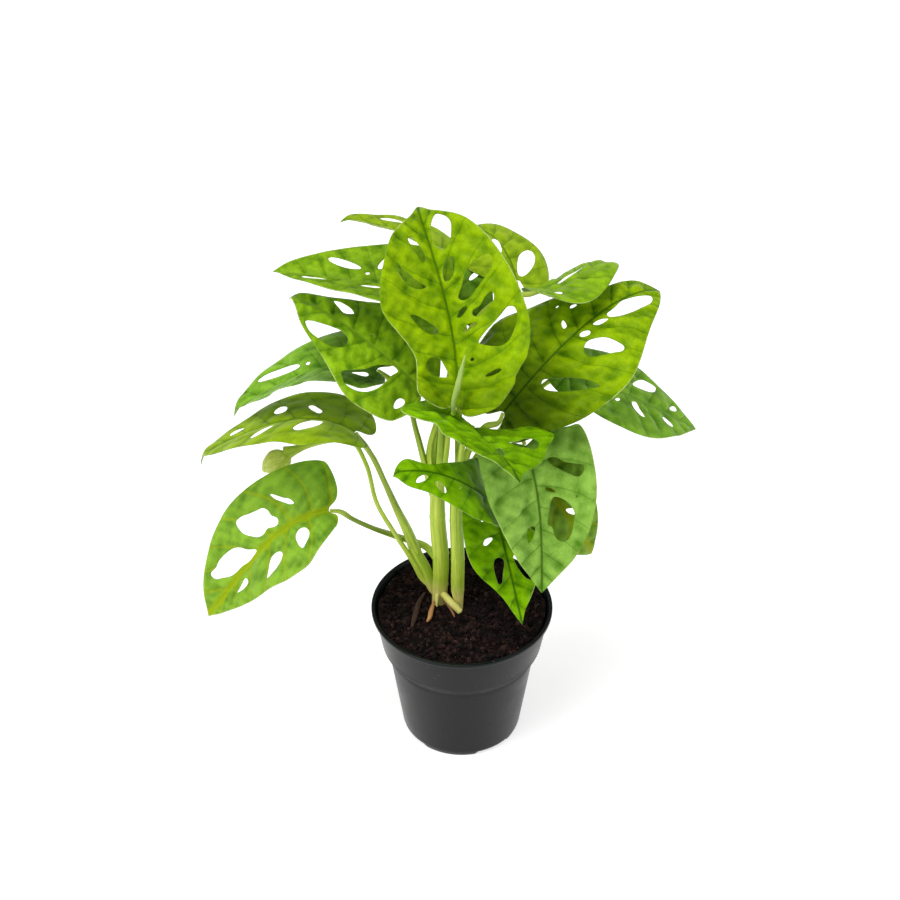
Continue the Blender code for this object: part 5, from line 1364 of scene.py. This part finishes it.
def randomTurns(chance, count):
    # Evenly spread rotation matrices, from random unit quaternions
    w, x, y, z = unit(chance.normal(size=(count, 4))).T
    rows = ((1 - 2 * (y * y + z * z), 2 * (x * y - z * w), 2 * (x * z + y * w)),
            (2 * (x * y + z * w), 1 - 2 * (x * x + z * z), 2 * (y * z - x * w)),
            (2 * (x * z - y * w), 2 * (y * z + x * w), 1 - 2 * (x * x + y * y)))
    return np.stack([np.stack(row, -1) for row in rows], -2)


def clearPlaces(chance, count, edge):
    # Random places on the soil, away from the stems and roots; three are drawn for each one wanted
    x, y = chance.uniform(-edge, edge, (2, count * 3))
    keep = np.hypot(x, y) < edge
    for cx, cy, room in soil["clear"]:
        keep &= np.hypot(x - cx, y - cy) > room
    return x[keep][:count], y[keep][:count]


def scatterLumps(name, kind, material):
    # Copies of a rough twenty-sided lump, each with its own size, turn and shade. Long ones lie
    # nearly flat
    golden = (1 + 5 ** 0.5) / 2
    corners = np.array([(-1, golden, 0), (1, golden, 0), (-1, -golden, 0), (1, -golden, 0),
                        (0, -1, golden), (0, 1, golden), (0, -1, -golden), (0, 1, -golden),
                        (golden, 0, -1), (golden, 0, 1), (-golden, 0, -1), (-golden, 0, 1)]) / 1.9
    faces = np.array([(0, 11, 5), (0, 5, 1), (0, 1, 7), (0, 7, 10), (0, 10, 11), (1, 5, 9), (5, 11, 4),
                      (11, 10, 2), (10, 7, 6), (7, 1, 8), (3, 9, 4), (3, 4, 2), (3, 2, 6), (3, 6, 8),
                      (3, 8, 9), (4, 9, 5), (2, 4, 11), (6, 2, 10), (8, 6, 7), (9, 8, 1)])
    chance = np.random.default_rng(kind["seed"])
    x, y = clearPlaces(chance, kind["count"], soil["crumbEdge"])
    count = len(x)
    small, large = kind["size"]
    size = small + (large - small) * chance.uniform(0, 1, count) ** 2
    shape = corners[None] * chance.uniform(0.7, 1.25, (count, 12, 1)) * size[:, None, None] / 2
    shape = shape * np.array(kind["stretch"])
    turns = randomTurns(chance, count)
    if kind["stretch"][0] > 2:
        angle = chance.uniform(0, 2 * math.pi, count)
        tilt = chance.normal(0, 0.15, count)
        along = np.stack([np.cos(angle) * np.cos(tilt), np.sin(angle) * np.cos(tilt), np.sin(tilt)], -1)
        side = unit(np.cross((0, 0, 1.0), along))
        turns = np.stack([along, side, np.cross(along, side)], -1)
    points = np.einsum("nij,nkj->nki", turns, shape)
    points += np.stack([x, y, soilHeight(x, y) + size * (0.5 - kind["sink"])], -1)[:, None]
    shade = np.repeat(chance.uniform(*kind["shade"], count), 12)
    allFaces = (faces[None] + np.arange(count)[:, None, None] * 12).reshape(-1, 3)
    addPiece(name, points.reshape(-1, 3), [allFaces], [material], slot="soil",
             facets=np.ones(len(allFaces), bool), attributes={"shade": shade})


def scatterFibres(material):
    # Thin three-sided hairs, each bent over the soil on a parabola
    chance = np.random.default_rng(31)
    x, y = clearPlaces(chance, soil["fibres"], soil["fibreEdge"])
    count = len(x)
    angle, length = chance.uniform(0, 2 * math.pi, count), chance.uniform(3, 13, count)
    steps, sides = 8, 3
    t = np.linspace(-0.5, 0.5, steps)[None]
    bow = chance.uniform(-0.5, 0.5, count)[:, None] * length[:, None] * (0.25 - t ** 2)
    px = x[:, None] + np.cos(angle)[:, None] * t * length[:, None] - np.sin(angle)[:, None] * bow
    py = y[:, None] + np.sin(angle)[:, None] * t * length[:, None] + np.cos(angle)[:, None] * bow
    edge = soil["fibreEdge"] + 2
    inside = edge / np.maximum(np.hypot(px, py), edge)
    px, py = px * inside, py * inside
    lift = chance.uniform(0.1, 1.6, count)[:, None] * (1 - 4 * t ** 2)
    centres = np.stack([px, py, soilHeight(px, py) + 0.3 + lift], -1)
    along = unit(np.gradient(centres, axis=1))
    side = unit(np.cross(along, (0, 0, 1.0)))
    over = np.cross(side, along)
    radius = (chance.uniform(0.10, 0.24, count)[:, None] * (1 - 1.2 * t ** 2))[..., None]
    corners = [centres + radius * (math.cos(a) * side + math.sin(a) * over) for a in (0, 2.09, 4.19)]
    points = np.stack(corners, 2).reshape(-1, 3)
    each = steps * sides
    shift = np.arange(count)[:, None, None] * each
    faces = (gridFaces(steps, sides, True)[None] + shift).reshape(-1, 4)
    ends = (np.array([(2, 1, 0), (each - 3, each - 2, each - 1)])[None] + shift).reshape(-1, 3)
    shade = np.repeat(chance.uniform(0.35, 0.78, count), each)
    addPiece("soilFibres", points, [faces, ends], [material], slot="soil", attributes={"shade": shade})


def makeSoilMaterial(tone):
    # Each crumb's shade picks its colour from black peat to tan fibre; damp patches shine a little
    material, tree, shader = newMaterial("peat", {"Specular IOR Level": 0.15})
    place = placeInMillimetres(tree)
    clumps = blotches(tree, place, 9.0, 4.0)
    fine = blotches(tree, place, 0.8, 3.0)
    shade = calc(tree, "ADD", readAttribute(tree, "shade", "Fac"), times(tree, fine, 0.12))
    ramp = addNode(tree, "ValToRGB", {0: shade})[0]
    elements = ramp.node.color_ramp.elements
    elements[0].position, elements[0].color = 0.05, rgba(tone["black"])
    elements[1].position, elements[1].color = 1.0, rgba(tone["pale"])
    for position, key in ((0.35, "brown"), (0.62, "red"), (0.85, "tan")):
        elements.new(position).color = rgba(tone[key])
    colour = tint(tree, ramp, clumps, 0.75, tone["black"])
    colour = tint(tree, colour, dots(tree, place, 1.3, 0.05), 0.5, tone["red"])
    setInputs(tree, shader, {"Base Color": colour,
                             "Roughness": rampUp(tree, clumps, 0.0, 1.0, 0.95, 0.7)})
    addBump(tree, shader, fine, 0.35, 0.8)
    return material


peat = makeSoilMaterial(soil)
makeBed(peat)
makeSingle("soilStick", stick["route"], 12, 20, plainSection, makeSkinMaterial("barkSkin", stick, 0.75),
           slot="soil")
for name, kind in soil["lumps"].items():
    scatterLumps(name, kind, peat)
scatterFibres(peat)
print("soil ready")


meshes = [item.data for item in bpy.data.objects if item.type == "MESH"]
print("triangles with the packed nodes", sum(len(mesh.loop_triangles) for mesh in meshes))
